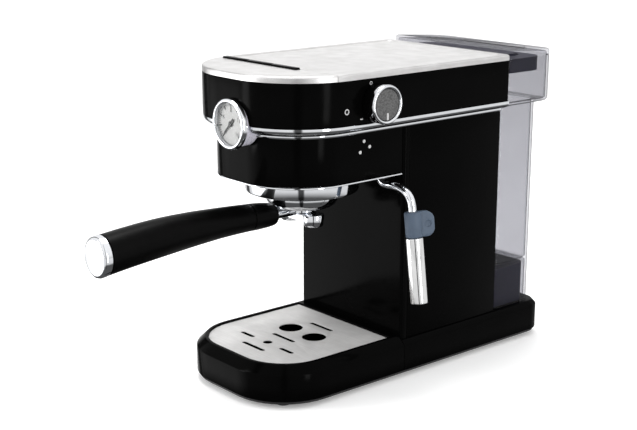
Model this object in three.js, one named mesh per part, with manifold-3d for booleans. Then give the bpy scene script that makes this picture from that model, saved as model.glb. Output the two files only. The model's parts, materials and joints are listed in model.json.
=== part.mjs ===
// Slim pump espresso machine: base with drip tray, column, head with brew group, steam wand and rear water tank.
// Millimetres, +Z up. The user stands at -Y, and +X is the user's right-hand side.
// While it is built, x = 0 is the middle plane and y = 0 is the axis of the brew group; the last lines move the
// origin to the middle of the whole machine's footprint.
import * as THREE from 'three';
import { mergeVertices } from 'three/addons/utils/BufferGeometryUtils.js';
import Module from 'manifold-3d';

// ---------- Driving dimensions ----------

// General
const gap = 0.3; // between pieces that touch
const wall = 2.5; // moulded casing wall
const sheet = 1.4; // pressed steel cover
const arcSteps = 6; // straight pieces in each round plan corner
const reach = 400; // longer than anything, for cutting blocks

// Head, seen from above
const headHalf = 75;
const headFront = -75.5;
const headRear = 169;
const headCorner = 62;
const bandInset = 10; // the chrome band narrows by this much on its way down
const lowerInset = 11.5;
const lowerCorner = 52.5;
const columnInset = 9.5;
const columnFront = 54;
const columnCorner = 3;

// Base, seen from above
const baseInset = 5;
const baseFront = -85;
const baseFrontCorner = 50.5;
const baseRearCorner = 18;

// Heights, from the table upwards
const footHeight = 4;
const floorThickness = 2;
const baseWallTop = 29;
const deckRise = 4; // chamfer of the rear base, up to its deck
const rimRise = 7; // chamfer of the drip tray, up to its rim
const headBottom = 177;
const lowerHeight = 38.5;
const bandHeight = 9.6;
const bandEdge = 1.2;
const upperHeight = 34.5;
const plateThickness = 5;

// Drip tray
const trayWall = 14; // from the outside of the tray to its well
const trayFloor = 2.2;
const plateInset = 10.6; // from the outside of the base to the drip plate
const plateRearInset = 8.6;
const plateCorner = 39.5;
const plateSheet = 0.7;
const plateSink = 1.5; // drip plate below the tray's rim
const cupHoleRadius = 10.5;
const cupHoleOffset = 15.5;
const slotWidth = 4.5;
const longSlot = 29;
const shortSlot = 17.5;
const shortSlotOffset = 26;
const floatY = -37.5;
const floatHoleRadius = 4.2;
const floatStemRadius = 3;

// Brew group and portafilter
const collarHeight = 16.2;
const rampThickness = 3.2;
const filterRadius = 31; // outside of the portafilter's ring
const ledgeClearance = 1.6; // portafilter's ring to the ledge that carries its ears
const ledgeWidth = 4;
const collarWall = 10.9;
const filterHeight = 24;
const filterWall = 3.5;
const hubRadius = 12;
const hubDepth = 5;
const earReach = 3.4;
const earAngle = 40; // degrees round the ring
const unlockAngle = 50; // degrees from locked to free
const basketSheet = 0.7;
const spoutSpread = 15;
const spoutLength = 10;
const spoutRadius = 8;
const handleInset = 1; // front end of the handle inside the ring's radius
const handleLength = 169;
const handleTopZ = 145.5; // highest point of the handle's arched centre line
const handleTopY = -85;
const handleArch = 862; // radius of that arch
const neckRadius = 5;

// Steam wand
const wandInset = 13.5; // from the side of the lower head
const wandY = 41;
const wandTubeRadius = 3.3;
const wandTilt = 7.6; // degrees outwards
const elbowReach = 13.4; // beyond the side of the head
const elbowZ = 157;
const gripWall = 3.3;
const gripLength = 20.5;
const sleeveClearance = 0.9;
const sleeveWall = 3;
const sleeveLength = 54;

// Steam knob
const knobY = 13.8;
const knobZ = 240.5;
const knobRadius = 15.5;
const knobSkirt = 8.5;
const knobRingDepth = 4.5;
const knobShaftRadius = 3;

// Pressure gauge
const gaugeX = 7.5;
const gaugeZ = 225.2;
const gaugeFront = -81;
const gaugeRadius = 20.2;
const bezelDepth = 5;
const bezelProud = 1.8; // bezel's edge beyond its housing
const housingDepth = 21;
const gaugeSegments = 28;

// Pump and hoses
const pumpFront = 76;
const pumpLength = 74;
const pumpRadius = 18;
const pumpZ = 61;
const hoseRadius = 3;
const boilerRadius = 29;

// Key bar in the top deck
const keyBarRear = -25.2;
const keyBarDepth = 6;
const keyBarInset = 9; // from the left side of the head
const keyCount = 3;
const keyPitch = 32;
const keyProud = 1.5;

// Water tank
const tankGap = 2; // behind the column
const tankWall = 2.2;
const tankInset = 11; // from the side of the head
const tankDepth = 52;
const tankCorner = 14;
const tankFrontCorner = 5;
const tankTopInset = 4;
const tankTopDepth = 62;
const tankTopCorner = 14;
const tankStep = 219; // where the tank widens
const tankTop = 259.4;
const tankFloor = 71.4;
const lidFrontTop = 269.3;
const lidRearTop = 264.6;
const seatHeight = 35.5;
const seatInset = 5.2; // from the outside of the tank to its seat block
const hoseHeight = 18; // suction hose above the deck
const hingePinRadius = 1;

// ---------- Sizes that follow ----------

const floorTop = footHeight + floorThickness;
const caseBottom = floorTop + gap;
const deckTop = baseWallTop + deckRise;
const rimTop = baseWallTop + rimRise;
const chamferRatio = 7.5 / rimRise;
const baseHalf = headHalf - baseInset;
const lowerHalf = headHalf - lowerInset;
const lowerFront = headFront + bandInset;
const columnHalf = headHalf - columnInset;
const bandBottom = headBottom + lowerHeight;
const bandTop = bandBottom + bandHeight;
const upperTop = bandTop + gap + upperHeight;
const topBottom = upperTop + gap;
const topTop = topBottom + plateThickness;
const collarTop = headBottom - gap;
const collarBottom = collarTop - collarHeight;
const gasketBottom = collarTop - 4.2;
const filterTop = gasketBottom - gap - 1.2;
const filterBottom = filterTop - filterHeight;
const hubBottom = filterBottom - hubDepth;
const hoseZ = deckTop + hoseHeight;
const tankFront = headRear + tankGap;
const tankRear = tankFront + tankDepth;
const tankTopRear = tankFront + tankTopDepth;
const tankHalf = headHalf - tankInset;
const tankTopHalf = headHalf - tankTopInset;
const baseRear = tankTopRear;
const rampInner = filterRadius + ledgeClearance;
const rampRadius = rampInner + ledgeWidth; // where the ears turn
const collarRadius = rampRadius + collarWall;
const groupPassRadius = rampInner - 2.2;
const handleStart = handleInset - filterRadius;
const wandX = lowerHalf - wandInset;
const elbowX = headHalf + elbowReach;
const gripRadius = wandTubeRadius + gap + gripWall;
const sleeveBore = wandTubeRadius + sleeveClearance;
const sleeveRadius = sleeveBore + sleeveWall;
const housingRadius = gaugeRadius - bezelProud;
const keyBarLeft = keyBarInset - headHalf;

// ---------- Making and joining solids ----------

const wasm = await Module();
wasm.setup();

// A closed geometry as a solid, whichever way round its faces were.
function solid(geometry) {
  const bare = geometry.clone();
  bare.deleteAttribute('normal');
  bare.deleteAttribute('uv');
  const merged = mergeVertices(bare, 1e-4);
  const points = merged.attributes.position;
  const index = merged.index.array;
  const corner = [new THREE.Vector3(), new THREE.Vector3(), new THREE.Vector3()];
  const triangles = [];
  let volume = 0;
  for (let i = 0; i < index.length; i += 3) {
    const face = [index[i], index[i + 1], index[i + 2]];
    if (new Set(face).size < 3) continue;
    triangles.push(...face);
    face.forEach((point, k) => corner[k].fromBufferAttribute(points, point));
    volume += corner[0].dot(corner[1].clone().cross(corner[2]));
  }
  if (volume < 0) triangles.reverse();
  return new wasm.Manifold(new wasm.Mesh({
    numProp: 3,
    vertProperties: points.array,
    triVerts: new Uint32Array(triangles),
  }));
}

function geometryOf(body) {
  const mesh = body.getMesh();
  const geometry = new THREE.BufferGeometry();
  geometry.setAttribute('position', new THREE.BufferAttribute(mesh.vertProperties, 3));
  geometry.setIndex(new THREE.BufferAttribute(mesh.triVerts, 1));
  return geometry;
}

function cut(geometry, ...tools) {
  return geometryOf(tools.reduce((body, tool) => body.subtract(solid(tool)), solid(geometry)));
}

function join(geometry, ...others) {
  return geometryOf(others.reduce((body, other) => body.add(solid(other)), solid(geometry)));
}

function common(geometry, other) {
  return geometryOf(solid(geometry).intersect(solid(other)));
}

function box(x0, x1, y0, y1, z0, z1) {
  const geometry = new THREE.BoxGeometry(x1 - x0, y1 - y0, z1 - z0);
  return geometry.translate((x0 + x1) / 2, (y0 + y1) / 2, (z0 + z1) / 2);
}

const inFrontOf = (y) => box(-reach, reach, -reach, y, -reach, reach);
const behind = (y) => box(-reach, reach, y, reach, -reach, reach);

// A plan outline that is the same on both sides of x = 0, with round front and rear corners.
function outline(half, front, rear, frontRadius, rearRadius) {
  const shape = new THREE.Shape();
  const quarter = Math.PI / 2;
  const corners = [
    [half - frontRadius, front + frontRadius, frontRadius, -quarter],
    [half - rearRadius, rear - rearRadius, rearRadius, 0],
    [rearRadius - half, rear - rearRadius, rearRadius, quarter],
    [frontRadius - half, front + frontRadius, frontRadius, 2 * quarter],
  ];
  shape.moveTo(frontRadius - half, front);
  for (const [x, y, radius, start] of corners) {
    if (radius > 0) shape.absarc(x, y, radius, start, start + quarter, false);
    else shape.lineTo(x, y);
  }
  return shape;
}

function prism(shape, bottom, top, steps = arcSteps) {
  const geometry = new THREE.ExtrudeGeometry(shape, {
    depth: top - bottom,
    bevelEnabled: false,
    curveSegments: steps,
  });
  return geometry.translate(0, 0, bottom);
}

// A prism whose upper edge is cut back by inset over the last drop of its height, in a chamfer or in steps.
function eased(shape, bottom, top, inset, drop, steps = 1) {
  const geometry = new THREE.ExtrudeGeometry(shape, {
    depth: top - drop - bottom,
    bevelEnabled: true,
    bevelThickness: drop,
    bevelSize: inset,
    bevelOffset: -inset,
    bevelSegments: steps,
    curveSegments: arcSteps,
  });
  geometry.translate(0, 0, bottom);
  return cut(geometry, box(-reach, reach, -reach, reach, bottom - 2 * drop, bottom));
}

// Turned pieces: a profile of [radius, position] pairs round an axis along X, Y or Z.
function turned(axis, profile, segments = 20) {
  const points = profile.map(([radius, along]) => new THREE.Vector2(radius, along));
  const geometry = new THREE.LatheGeometry(points, segments);
  if (axis === 'z') geometry.rotateX(Math.PI / 2);
  if (axis === 'x') geometry.rotateZ(-Math.PI / 2);
  return geometry;
}

function rod(axis, radius, from, to, segments = 16) {
  return turned(axis, [[0, from], [radius, from], [radius, to], [0, to]], segments);
}

function ring(axis, outer, inner, from, to, segments = 20) {
  return turned(axis, [[inner, from], [outer, from], [outer, to], [inner, to], [inner, from]], segments);
}

// A round bar along a smooth line through the points.
function bar(points, radius, sides = 10, steps = 24) {
  const path = new THREE.CatmullRomCurve3(points.map((point) => new THREE.Vector3(...point)));
  const section = new THREE.Shape();
  section.absarc(0, 0, radius, 0, 2 * Math.PI, false);
  return new THREE.ExtrudeGeometry(section, { steps, curveSegments: sides, extrudePath: path });
}

// A sector of a ring round Z, centred on the given angle in degrees.
function sector(outer, inner, centre, width, bottom, top) {
  const from = THREE.MathUtils.degToRad(centre - width / 2);
  const to = THREE.MathUtils.degToRad(centre + width / 2);
  const shape = new THREE.Shape();
  shape.absarc(0, 0, outer, from, to, false);
  shape.absarc(0, 0, inner, to, from, true);
  return prism(shape, bottom, top, 8);
}

// ---------- Finishes ----------

function finish(color, roughness, metalness, opacity = 1) {
  return new THREE.MeshStandardMaterial({ color, roughness, metalness, opacity, transparent: opacity < 1 });
}

const glossBlack = () => finish(0x0d0c0e, 0.12, 0);
const matteBlack = () => finish(0x161618, 0.55, 0);
const chrome = () => finish(0xd9dadc, 0.08, 1);
const brushed = () => finish(0xdcdcda, 0.32, 1);
const steel = () => finish(0x9a9c9e, 0.4, 1);
const castMetal = () => finish(0xa8a9ab, 0.5, 1);
const rubber = () => finish(0x1c1c1e, 0.85, 0);
const clear = () => finish(0xc8c9cc, 0.06, 0, 0.35);
const navy = () => finish(0x1f1b30, 0.4, 0);

const machine = new THREE.Group();

function add(name, geometry, material) {
  const mesh = new THREE.Mesh(geometry, material);
  mesh.name = name;
  machine.add(mesh);
}

// ---------- Base: floor plate, feet and rear casing ----------

function addBase() {
  const footRadius = 7;
  const rearInset = 2;
  const footprint = outline(
    baseHalf - rearInset,
    baseFront + rearInset,
    baseRear - rearInset,
    baseFrontCorner - rearInset,
    baseRearCorner - rearInset,
  );
  add('base_floor', prism(footprint, footHeight, floorTop), matteBlack());

  const footX = baseHalf - 24;
  const footFront = baseFront + 27;
  const footRear = baseRear - 28;
  const feet = {
    foot_front_left: [-footX, footFront],
    foot_front_right: [footX, footFront],
    foot_rear_left: [-footX, footRear],
    foot_rear_right: [footX, footRear],
  };
  for (const [name, [x, y]] of Object.entries(feet)) {
    add(name, rod('z', footRadius, 0, footHeight - gap, 20).translate(x, y, 0), rubber());
  }

  const full = outline(baseHalf, baseFront, baseRear, baseFrontCorner, baseRearCorner);
  const block = eased(full, caseBottom, deckTop, deckRise * chamferRatio, deckRise);
  const hollow = outline(
    baseHalf - wall,
    columnFront + wall,
    baseRear - wall,
    columnCorner,
    baseRearCorner - wall,
  );
  const glandX = -40;
  const glandZ = 18;
  const glandRadius = 6;
  const shell = cut(
    block,
    inFrontOf(columnFront),
    prism(hollow, caseBottom - 1, baseWallTop - 0.5),
    rod('y', glandRadius + gap, baseRear - 2 * wall, baseRear + wall).translate(glandX, 0, glandZ),
  );
  add('base_shell', shell, glossBlack());

  const gland = turned('y', [
    [0, baseRear - 6],
    [glandRadius, baseRear - 6],
    [glandRadius, baseRear + gap],
    [glandRadius + 2, baseRear + gap],
    [glandRadius + 1, baseRear + 3],
    [3.6, baseRear + 3],
    [3.6, baseRear - 1],
    [0, baseRear - 1],
  ]);
  add('cord_gland', gland.translate(glandX, 0, glandZ), rubber());
}

// ---------- Drip tray, its plate and the float ----------

function addDripTray() {
  const rear = columnFront - gap;
  const full = outline(baseHalf, baseFront, baseRear, baseFrontCorner, baseRearCorner);
  const block = eased(full, caseBottom, rimTop, rimRise * chamferRatio, rimRise);
  const plateBottom = rimTop - plateSink - plateSheet;
  const wellFloor = caseBottom + trayFloor;
  const well = outline(
    baseHalf - trayWall,
    baseFront + trayWall,
    rear - trayWall,
    baseFrontCorner - trayWall,
    columnCorner,
  );
  const seat = outline(
    baseHalf - plateInset + gap,
    baseFront + plateInset - gap,
    rear - plateRearInset + gap,
    plateCorner + gap,
    1.5,
  );
  const tray = cut(
    block,
    behind(rear),
    prism(well, wellFloor, rimTop),
    prism(seat, plateBottom - gap, rimTop + 1),
  );
  add('drip_tray', tray, glossBlack());

  function slot(x, y, length) {
    const half = (length - slotWidth) / 2;
    const shape = new THREE.Shape();
    shape.absarc(half, 0, slotWidth / 2, -Math.PI / 2, Math.PI / 2, false);
    shape.absarc(-half, 0, slotWidth / 2, Math.PI / 2, 1.5 * Math.PI, false);
    return prism(shape, plateBottom - 1, plateBottom + 2, 5).translate(x, y, 0);
  }
  const sheetOutline = outline(
    baseHalf - plateInset,
    baseFront + plateInset,
    rear - plateRearInset,
    plateCorner,
    1.2,
  );
  const hole = (radius, x, y) => rod('z', radius, plateBottom - 1, plateBottom + 2).translate(x, y, 0);
  const plate = cut(
    prism(sheetOutline, plateBottom, plateBottom + plateSheet),
    hole(cupHoleRadius, -cupHoleOffset, 0),
    hole(cupHoleRadius, cupHoleOffset, 0),
    hole(floatHoleRadius, 0, floatY),
    slot(0, 21.5, longSlot),
    slot(0, -20.5, longSlot),
    slot(0, -52.5, longSlot),
    slot(-shortSlotOffset, floatY - 1, shortSlot),
    slot(shortSlotOffset, floatY - 1, shortSlot),
  );
  add('drip_plate', plate, brushed());

  const floatBottom = wellFloor + gap;
  const float = turned('z', [
    [0, floatBottom],
    [9, floatBottom],
    [9, floatBottom + 5],
    [floatStemRadius, floatBottom + 6],
    [floatStemRadius, plateBottom - 2],
    [0, plateBottom - 2],
  ], 20);
  add('tray_float', float.translate(0, floatY, 0), finish(0x8c1c1c, 0.45, 0));
}

// ---------- Column ----------

function addColumn() {
  const bottom = deckTop + gap;
  const top = bandBottom - gap;
  const panelDepth = 6;
  const seam = columnFront + panelDepth;
  const frontOuter = outline(columnHalf, columnFront, seam, columnCorner, 0);
  const frontInner = outline(columnHalf - wall, columnFront + wall, seam + 1, 1, 0);
  const window = box(6 - lowerHalf, lowerHalf - 6, columnFront - 1, seam + 1, headBottom + wall, top - 2);
  add('column_front_panel', cut(
    prism(frontOuter, bottom, top, 4),
    prism(frontInner, bottom - 1, top + 1, 3),
    window,
  ), glossBlack());
  add('left_side_panel', box(-columnHalf, wall - columnHalf, seam + gap, headRear, bottom, top), glossBlack());
  add('right_side_panel', box(columnHalf - wall, columnHalf, seam + gap, headRear, bottom, top), glossBlack());

  const inner = columnHalf - wall - gap;
  const hosePass = rod('y', 6, headRear - 2 * wall, headRear + 1, 16).translate(0, 0, hoseZ);
  add('rear_wall', cut(box(-inner, inner, headRear - wall, headRear, bottom, top), hosePass), matteBlack());

  // Sheet steel chassis: foot on the deck, upright behind the front panel and shelf that carries the group.
  const shelfZ = headBottom + wall + gap;
  const upright = seam - 1.8;
  const thick = 2;
  const profile = [
    [headRear - 20, bottom],
    [headRear - 20, bottom + thick],
    [upright + thick, bottom + thick],
    [upright + thick, shelfZ + thick],
    [-42, shelfZ + thick],
    [-42, shelfZ],
    [upright, shelfZ],
    [upright, bottom],
  ];
  const side = new THREE.Shape(profile.map(([y, z]) => new THREE.Vector2(y, z)));
  const chassisHalf = 40;
  const bent = prism(side, -chassisHalf, chassisHalf);
  bent.rotateX(Math.PI / 2);
  bent.rotateZ(Math.PI / 2);
  const groupPass = rod('z', groupPassRadius, shelfZ - 1, shelfZ + thick + 1, 32);
  const saddleHalf = 14;
  const saddle = box(-saddleHalf, saddleHalf, pumpFront + 16, pumpFront + 56, bottom + 1, bottom + 12);
  const pumpBed = rod('y', pumpRadius + gap, pumpFront, pumpFront + pumpLength, 20).translate(0, 0, pumpZ);
  add('chassis', cut(join(bent, saddle), groupPass, pumpBed), steel());
}

// ---------- Head casings, chrome band and top covers ----------

function addHead() {
  const gaugePass = rod('y', housingRadius + gap, gaugeFront - 5, gaugeFront + 45, gaugeSegments);
  gaugePass.translate(gaugeX, 0, gaugeZ);
  const wandPass = rod('z', wandTubeRadius + 1, headBottom - 1, headBottom + wall + 1, 16);
  wandPass.translate(wandX, wandY, 0);
  const lowerRear = columnFront - gap;

  const lowerOuter = outline(lowerHalf, lowerFront, lowerRear, lowerCorner, 0);
  const lowerInner = outline(lowerHalf - wall, lowerFront + wall, columnFront + 1, lowerCorner - wall, 0);
  add('lower_head_shell', cut(
    prism(lowerOuter, headBottom, bandBottom - gap),
    prism(lowerInner, headBottom + wall, bandBottom + 1),
    rod('z', groupPassRadius, headBottom - 1, headBottom + wall + 1, 32),
    wandPass,
    gaugePass,
  ), glossBlack());

  const trimProud = 0.4;
  const trimHeight = 1.3;
  const trimOuter = outline(lowerHalf + trimProud, lowerFront - trimProud, lowerRear, lowerCorner + trimProud, 0);
  const trimInner = outline(lowerHalf - 2, lowerFront + 2, lowerRear + 1, lowerCorner - 2, 0);
  add('lower_head_trim', cut(
    prism(trimOuter, collarTop - trimHeight, collarTop),
    prism(trimInner, collarTop - trimHeight - 1, collarTop + 1),
  ), chrome());

  // The band: a rounded lip all round the head, cut off square at the back.
  const beyond = headRear + 3 * bandInset;
  const bandShape = outline(headHalf, headFront, beyond, headCorner, 0);
  const band = new THREE.ExtrudeGeometry(bandShape, {
    depth: bandEdge,
    bevelEnabled: true,
    bevelThickness: bandHeight - bandEdge,
    bevelSize: bandInset,
    bevelOffset: -bandInset,
    bevelSegments: 3,
    curveSegments: arcSteps,
  });
  band.translate(0, 0, bandTop - bandEdge);
  const bandInner = outline(lowerHalf - 2, lowerFront + 2, headRear - 4, lowerCorner - 2, 2);
  add('chrome_band', cut(
    band,
    box(-reach, reach, -reach, reach, bandTop, bandTop + bandHeight + 1),
    behind(headRear),
    prism(bandInner, bandBottom - 1, bandTop + 1),
    gaugePass,
  ), chrome());

  const upperBottom = bandTop + gap;
  const upperOuter = outline(headHalf, headFront, headRear, headCorner, columnCorner);
  const upperInner = outline(headHalf - wall, headFront + wall, headRear - wall, headCorner - wall, 1);
  const knobPass = rod('x', knobShaftRadius + 0.8, headHalf - 2 * wall, headHalf + 1, 16);
  add('upper_head_shell', cut(
    prism(upperOuter, upperBottom, upperTop),
    prism(upperInner, upperBottom - 1, upperTop + 1),
    gaugePass,
    knobPass.translate(0, knobY, knobZ),
  ), glossBlack());

  // Pressed steel top in two pieces, with the key bar in a notch where they meet.
  const ease = 1.6;
  const skirt = 2;
  const cover = eased(upperOuter, topBottom, topTop, ease, ease);
  const underside = outline(headHalf - skirt, headFront + skirt, headRear, headCorner - skirt, 1);
  const frontHollow = cut(
    prism(underside, topBottom - 1, topTop - sheet),
    behind(keyBarRear - keyBarDepth - skirt),
  );
  const notch = box(
    keyBarLeft - gap,
    keyBarLeft + keyCount * keyPitch + gap,
    keyBarRear - keyBarDepth,
    keyBarRear + 1,
    topBottom - 1,
    topTop + 1,
  );
  add('front_deck', cut(
    cover,
    behind(keyBarRear),
    frontHollow,
    notch,
  ), brushed());

  const trayMargin = 6;
  const trayDepth = 0.8;
  const trayFront = keyBarRear + gap;
  const under = outline(headHalf - skirt, trayFront + skirt, headRear - skirt, 1, 2);
  const dish = outline(headHalf - trayMargin, trayFront + trayMargin, headRear - trayMargin, 3, 3);
  add('cup_tray', cut(
    cover,
    inFrontOf(trayFront),
    prism(under, topBottom - 1, topTop - sheet - trayDepth),
    prism(dish, topTop - trayDepth, topTop + 1),
  ), brushed());
}

// ---------- Keys ----------

function addKeys() {
  const names = ['power_key', 'one_cup_key', 'two_cup_key'];
  const keyBottom = topBottom - 3;
  const side = 0.4;
  names.slice(0, keyCount).forEach((name, i) => {
    const left = keyBarLeft + i * keyPitch + side;
    const shape = new THREE.Shape();
    shape.moveTo(left, keyBottom);
    shape.lineTo(left + keyPitch - 2 * side, keyBottom);
    shape.lineTo(left + keyPitch - 2 * side, topTop + keyProud);
    shape.lineTo(left, topTop + keyProud);
    const key = prism(shape, -(keyBarRear - side), -(keyBarRear - keyBarDepth + side));
    add(name, key.rotateX(Math.PI / 2), glossBlack());
  });
  const holderTop = keyBottom - 2.5;
  const holderRight = keyBarLeft + keyCount * keyPitch;
  add('key_holder', box(
    keyBarLeft,
    holderRight,
    keyBarRear - keyBarDepth - 4,
    keyBarRear + 4,
    holderTop - 6,
    holderTop,
  ), matteBlack());
}

// ---------- Brew group ----------

function addGroup() {
  const outerEase = 2;
  const collar = turned('z', [
    [rampInner, collarBottom],
    [collarRadius - outerEase, collarBottom],
    [collarRadius, collarBottom + outerEase],
    [collarRadius, collarTop],
    [rampInner - 0.6, collarTop],
    [rampInner - 0.6, collarTop - 2.2],
    [rampRadius, collarTop - 2.2],
    [rampRadius, collarBottom + rampThickness],
    [rampInner, collarBottom + rampThickness],
    [rampInner, collarBottom],
  ], 30);
  const entry = [0, 180].map((angle) => sector(
    rampRadius,
    rampInner - 1,
    angle - unlockAngle,
    earAngle + 6,
    collarBottom - 1,
    collarBottom + rampThickness + 0.5,
  ));
  add('group_collar', cut(collar, ...entry), chrome());

  const bossRadius = groupPassRadius - 7.4;
  const neckOutside = groupPassRadius - 0.8;
  const flangeRadius = groupPassRadius + 5.6;
  const shelfTop = headBottom + wall + gap + 2;
  const headSolid = turned('z', [
    [0, gasketBottom],
    [bossRadius, gasketBottom],
    [bossRadius, headBottom],
    [neckOutside, headBottom],
    [neckOutside, shelfTop + gap],
    [flangeRadius, shelfTop + gap],
    [flangeRadius, shelfTop + 4],
    [0, shelfTop + 4],
  ]);
  const screwBore = rod('z', 2.4, gasketBottom - 1, headBottom + 2, 16);
  add('group_head', cut(headSolid, screwBore), castMetal());
  const gasketOuter = rampInner - 0.6 - gap;
  add('group_gasket', ring('z', gasketOuter, bossRadius + gap, gasketBottom, collarTop - gap), rubber());

  const screenTop = gasketBottom - gap;
  add('shower_screen', ring('z', bossRadius - 0.6, 2.4, screenTop - 1.4, screenTop), steel());
  const screwTop = screenTop - 1.4 - gap;
  add('shower_screw', turned('z', [
    [0, screwTop - 1.8],
    [4.2, screwTop - 1.8],
    [4.6, screwTop],
    [2, screwTop],
    [2, headBottom],
    [0, headBottom],
  ], 20), steel());

  const boilerBottom = shelfTop + 4 + gap;
  const vessel = turned('z', [
    [0, boilerBottom],
    [boilerRadius + 4, boilerBottom],
    [boilerRadius + 4, boilerBottom + 6],
    [boilerRadius, boilerBottom + 6],
    [boilerRadius, boilerBottom + 22],
    [boilerRadius - 5, boilerBottom + 27],
    [0, boilerBottom + 27],
  ]);
  const steamPipe = bar([
    [18, 9, boilerBottom + 22],
    [18, 9, boilerBottom + 32],
    [26, 10, boilerBottom + 36],
    [38, knobY, boilerBottom + 37],
    [44, knobY, boilerBottom + 40],
    [44, knobY, knobZ - 10.5],
  ], 2.2, 4, 16);
  add('boiler', join(vessel, steamPipe), castMetal());
}

// ---------- Portafilter ----------

// The handle's parts are turned round a straight line along Y, then bent to its arch.
function arched(geometry) {
  const points = geometry.attributes.position;
  for (let i = 0; i < points.count; i += 1) {
    const offset = points.getY(i) - handleTopY;
    points.setZ(i, points.getZ(i) + handleTopZ - (offset * offset) / (2 * handleArch));
  }
  return geometry;
}

function addPortafilter() {
  const bore = 4;
  const cup = turned('z', [
    [bore, hubBottom],
    [hubRadius, hubBottom],
    [hubRadius, filterBottom - 1],
    [filterRadius - 8, filterBottom],
    [filterRadius - 3, filterBottom + 2],
    [filterRadius, filterBottom + 8],
    [filterRadius, filterTop],
    [filterRadius - filterWall, filterTop],
    [filterRadius - filterWall, filterBottom + 3.4],
    [filterRadius - filterWall - 2, filterBottom + 2.2],
    [bore, filterBottom + 2.2],
    [bore, hubBottom],
  ], 32);
  const earBottom = collarBottom + rampThickness + gap;
  const ears = [0, 180].map((angle) => sector(
    filterRadius + earReach,
    filterRadius - 1,
    angle,
    earAngle,
    earBottom,
    earBottom + 4,
  ));
  const neckZ = handleTopZ - 1.4;
  const neck = rod('y', neckRadius, handleStart - 13, -hubRadius + 3, 20).translate(0, 0, neckZ);
  add('portafilter_body', join(cup, ...ears, neck), chrome());

  const basketOuter = filterRadius - filterWall - 0.6;
  const basketFloor = filterBottom + 3.4;
  const basketRim = filterTop + gap;
  add('filter_basket', turned('z', [
    [0, basketFloor],
    [basketOuter - 2, basketFloor],
    [basketOuter, basketFloor + 2],
    [basketOuter, basketRim],
    [filterRadius - 0.2, basketRim],
    [filterRadius - 0.2, basketRim + basketSheet],
    [basketOuter - basketSheet, basketRim + basketSheet],
    [basketOuter - basketSheet, basketFloor + 2.4],
    [basketOuter - 2.4, basketFloor + basketSheet],
    [0, basketFloor + basketSheet],
  ]), brushed());

  const spoutTop = hubBottom - gap;
  const bridgeHeight = 6;
  const outlets = [-1, 1].map((sideSign) => turned('z', [
    [0, spoutTop - spoutLength],
    [spoutRadius, spoutTop - spoutLength],
    [spoutRadius + 1, spoutTop],
    [0, spoutTop],
  ], 16).translate(sideSign * spoutSpread, 0, 0));
  const bores = [-1, 1].map((sideSign) => rod(
    'z',
    spoutRadius - 1.5,
    spoutTop - spoutLength - 1,
    spoutTop - bridgeHeight,
    12,
  ).translate(sideSign * spoutSpread, 0, 0));
  const bridge = box(-spoutSpread, spoutSpread, -spoutRadius, spoutRadius, spoutTop - bridgeHeight, spoutTop);
  add('double_spout', cut(join(bridge, ...outlets), ...bores), chrome());

  const handleEnd = handleStart - handleLength;
  const ferruleEnd = handleStart - 25;
  const capDepth = 7;
  const gripEnd = handleEnd + capDepth + gap;
  const ferrule = turned('y', [
    [0, ferruleEnd],
    [11.1, ferruleEnd],
    [10.3, handleStart - 10],
    [9.3, handleStart - 3],
    [7.4, handleStart],
    [0, handleStart],
  ], 20);
  const neckBore = rod('y', neckRadius + 0.6, handleStart - 14, handleStart + 1, 20).translate(0, 0, neckZ);
  add('handle_ferrule', cut(arched(ferrule), neckBore), glossBlack());
  add('handle_grip', arched(turned('y', [
    [0, gripEnd],
    [15.8, gripEnd],
    [15.6, gripEnd + 17],
    [15, gripEnd + 50],
    [13.6, gripEnd + 82],
    [12.3, gripEnd + 106],
    [11.1, ferruleEnd - gap],
    [0, ferruleEnd - gap],
  ])), glossBlack());
  add('handle_cap', arched(turned('y', [
    [0, handleEnd],
    [13.5, handleEnd],
    [15.4, handleEnd + 0.9],
    [16, handleEnd + 2.4],
    [16, handleEnd + capDepth],
    [0, handleEnd + capDepth],
  ], 28)), chrome());
}

// ---------- Steam wand, knob and valve ----------

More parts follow.
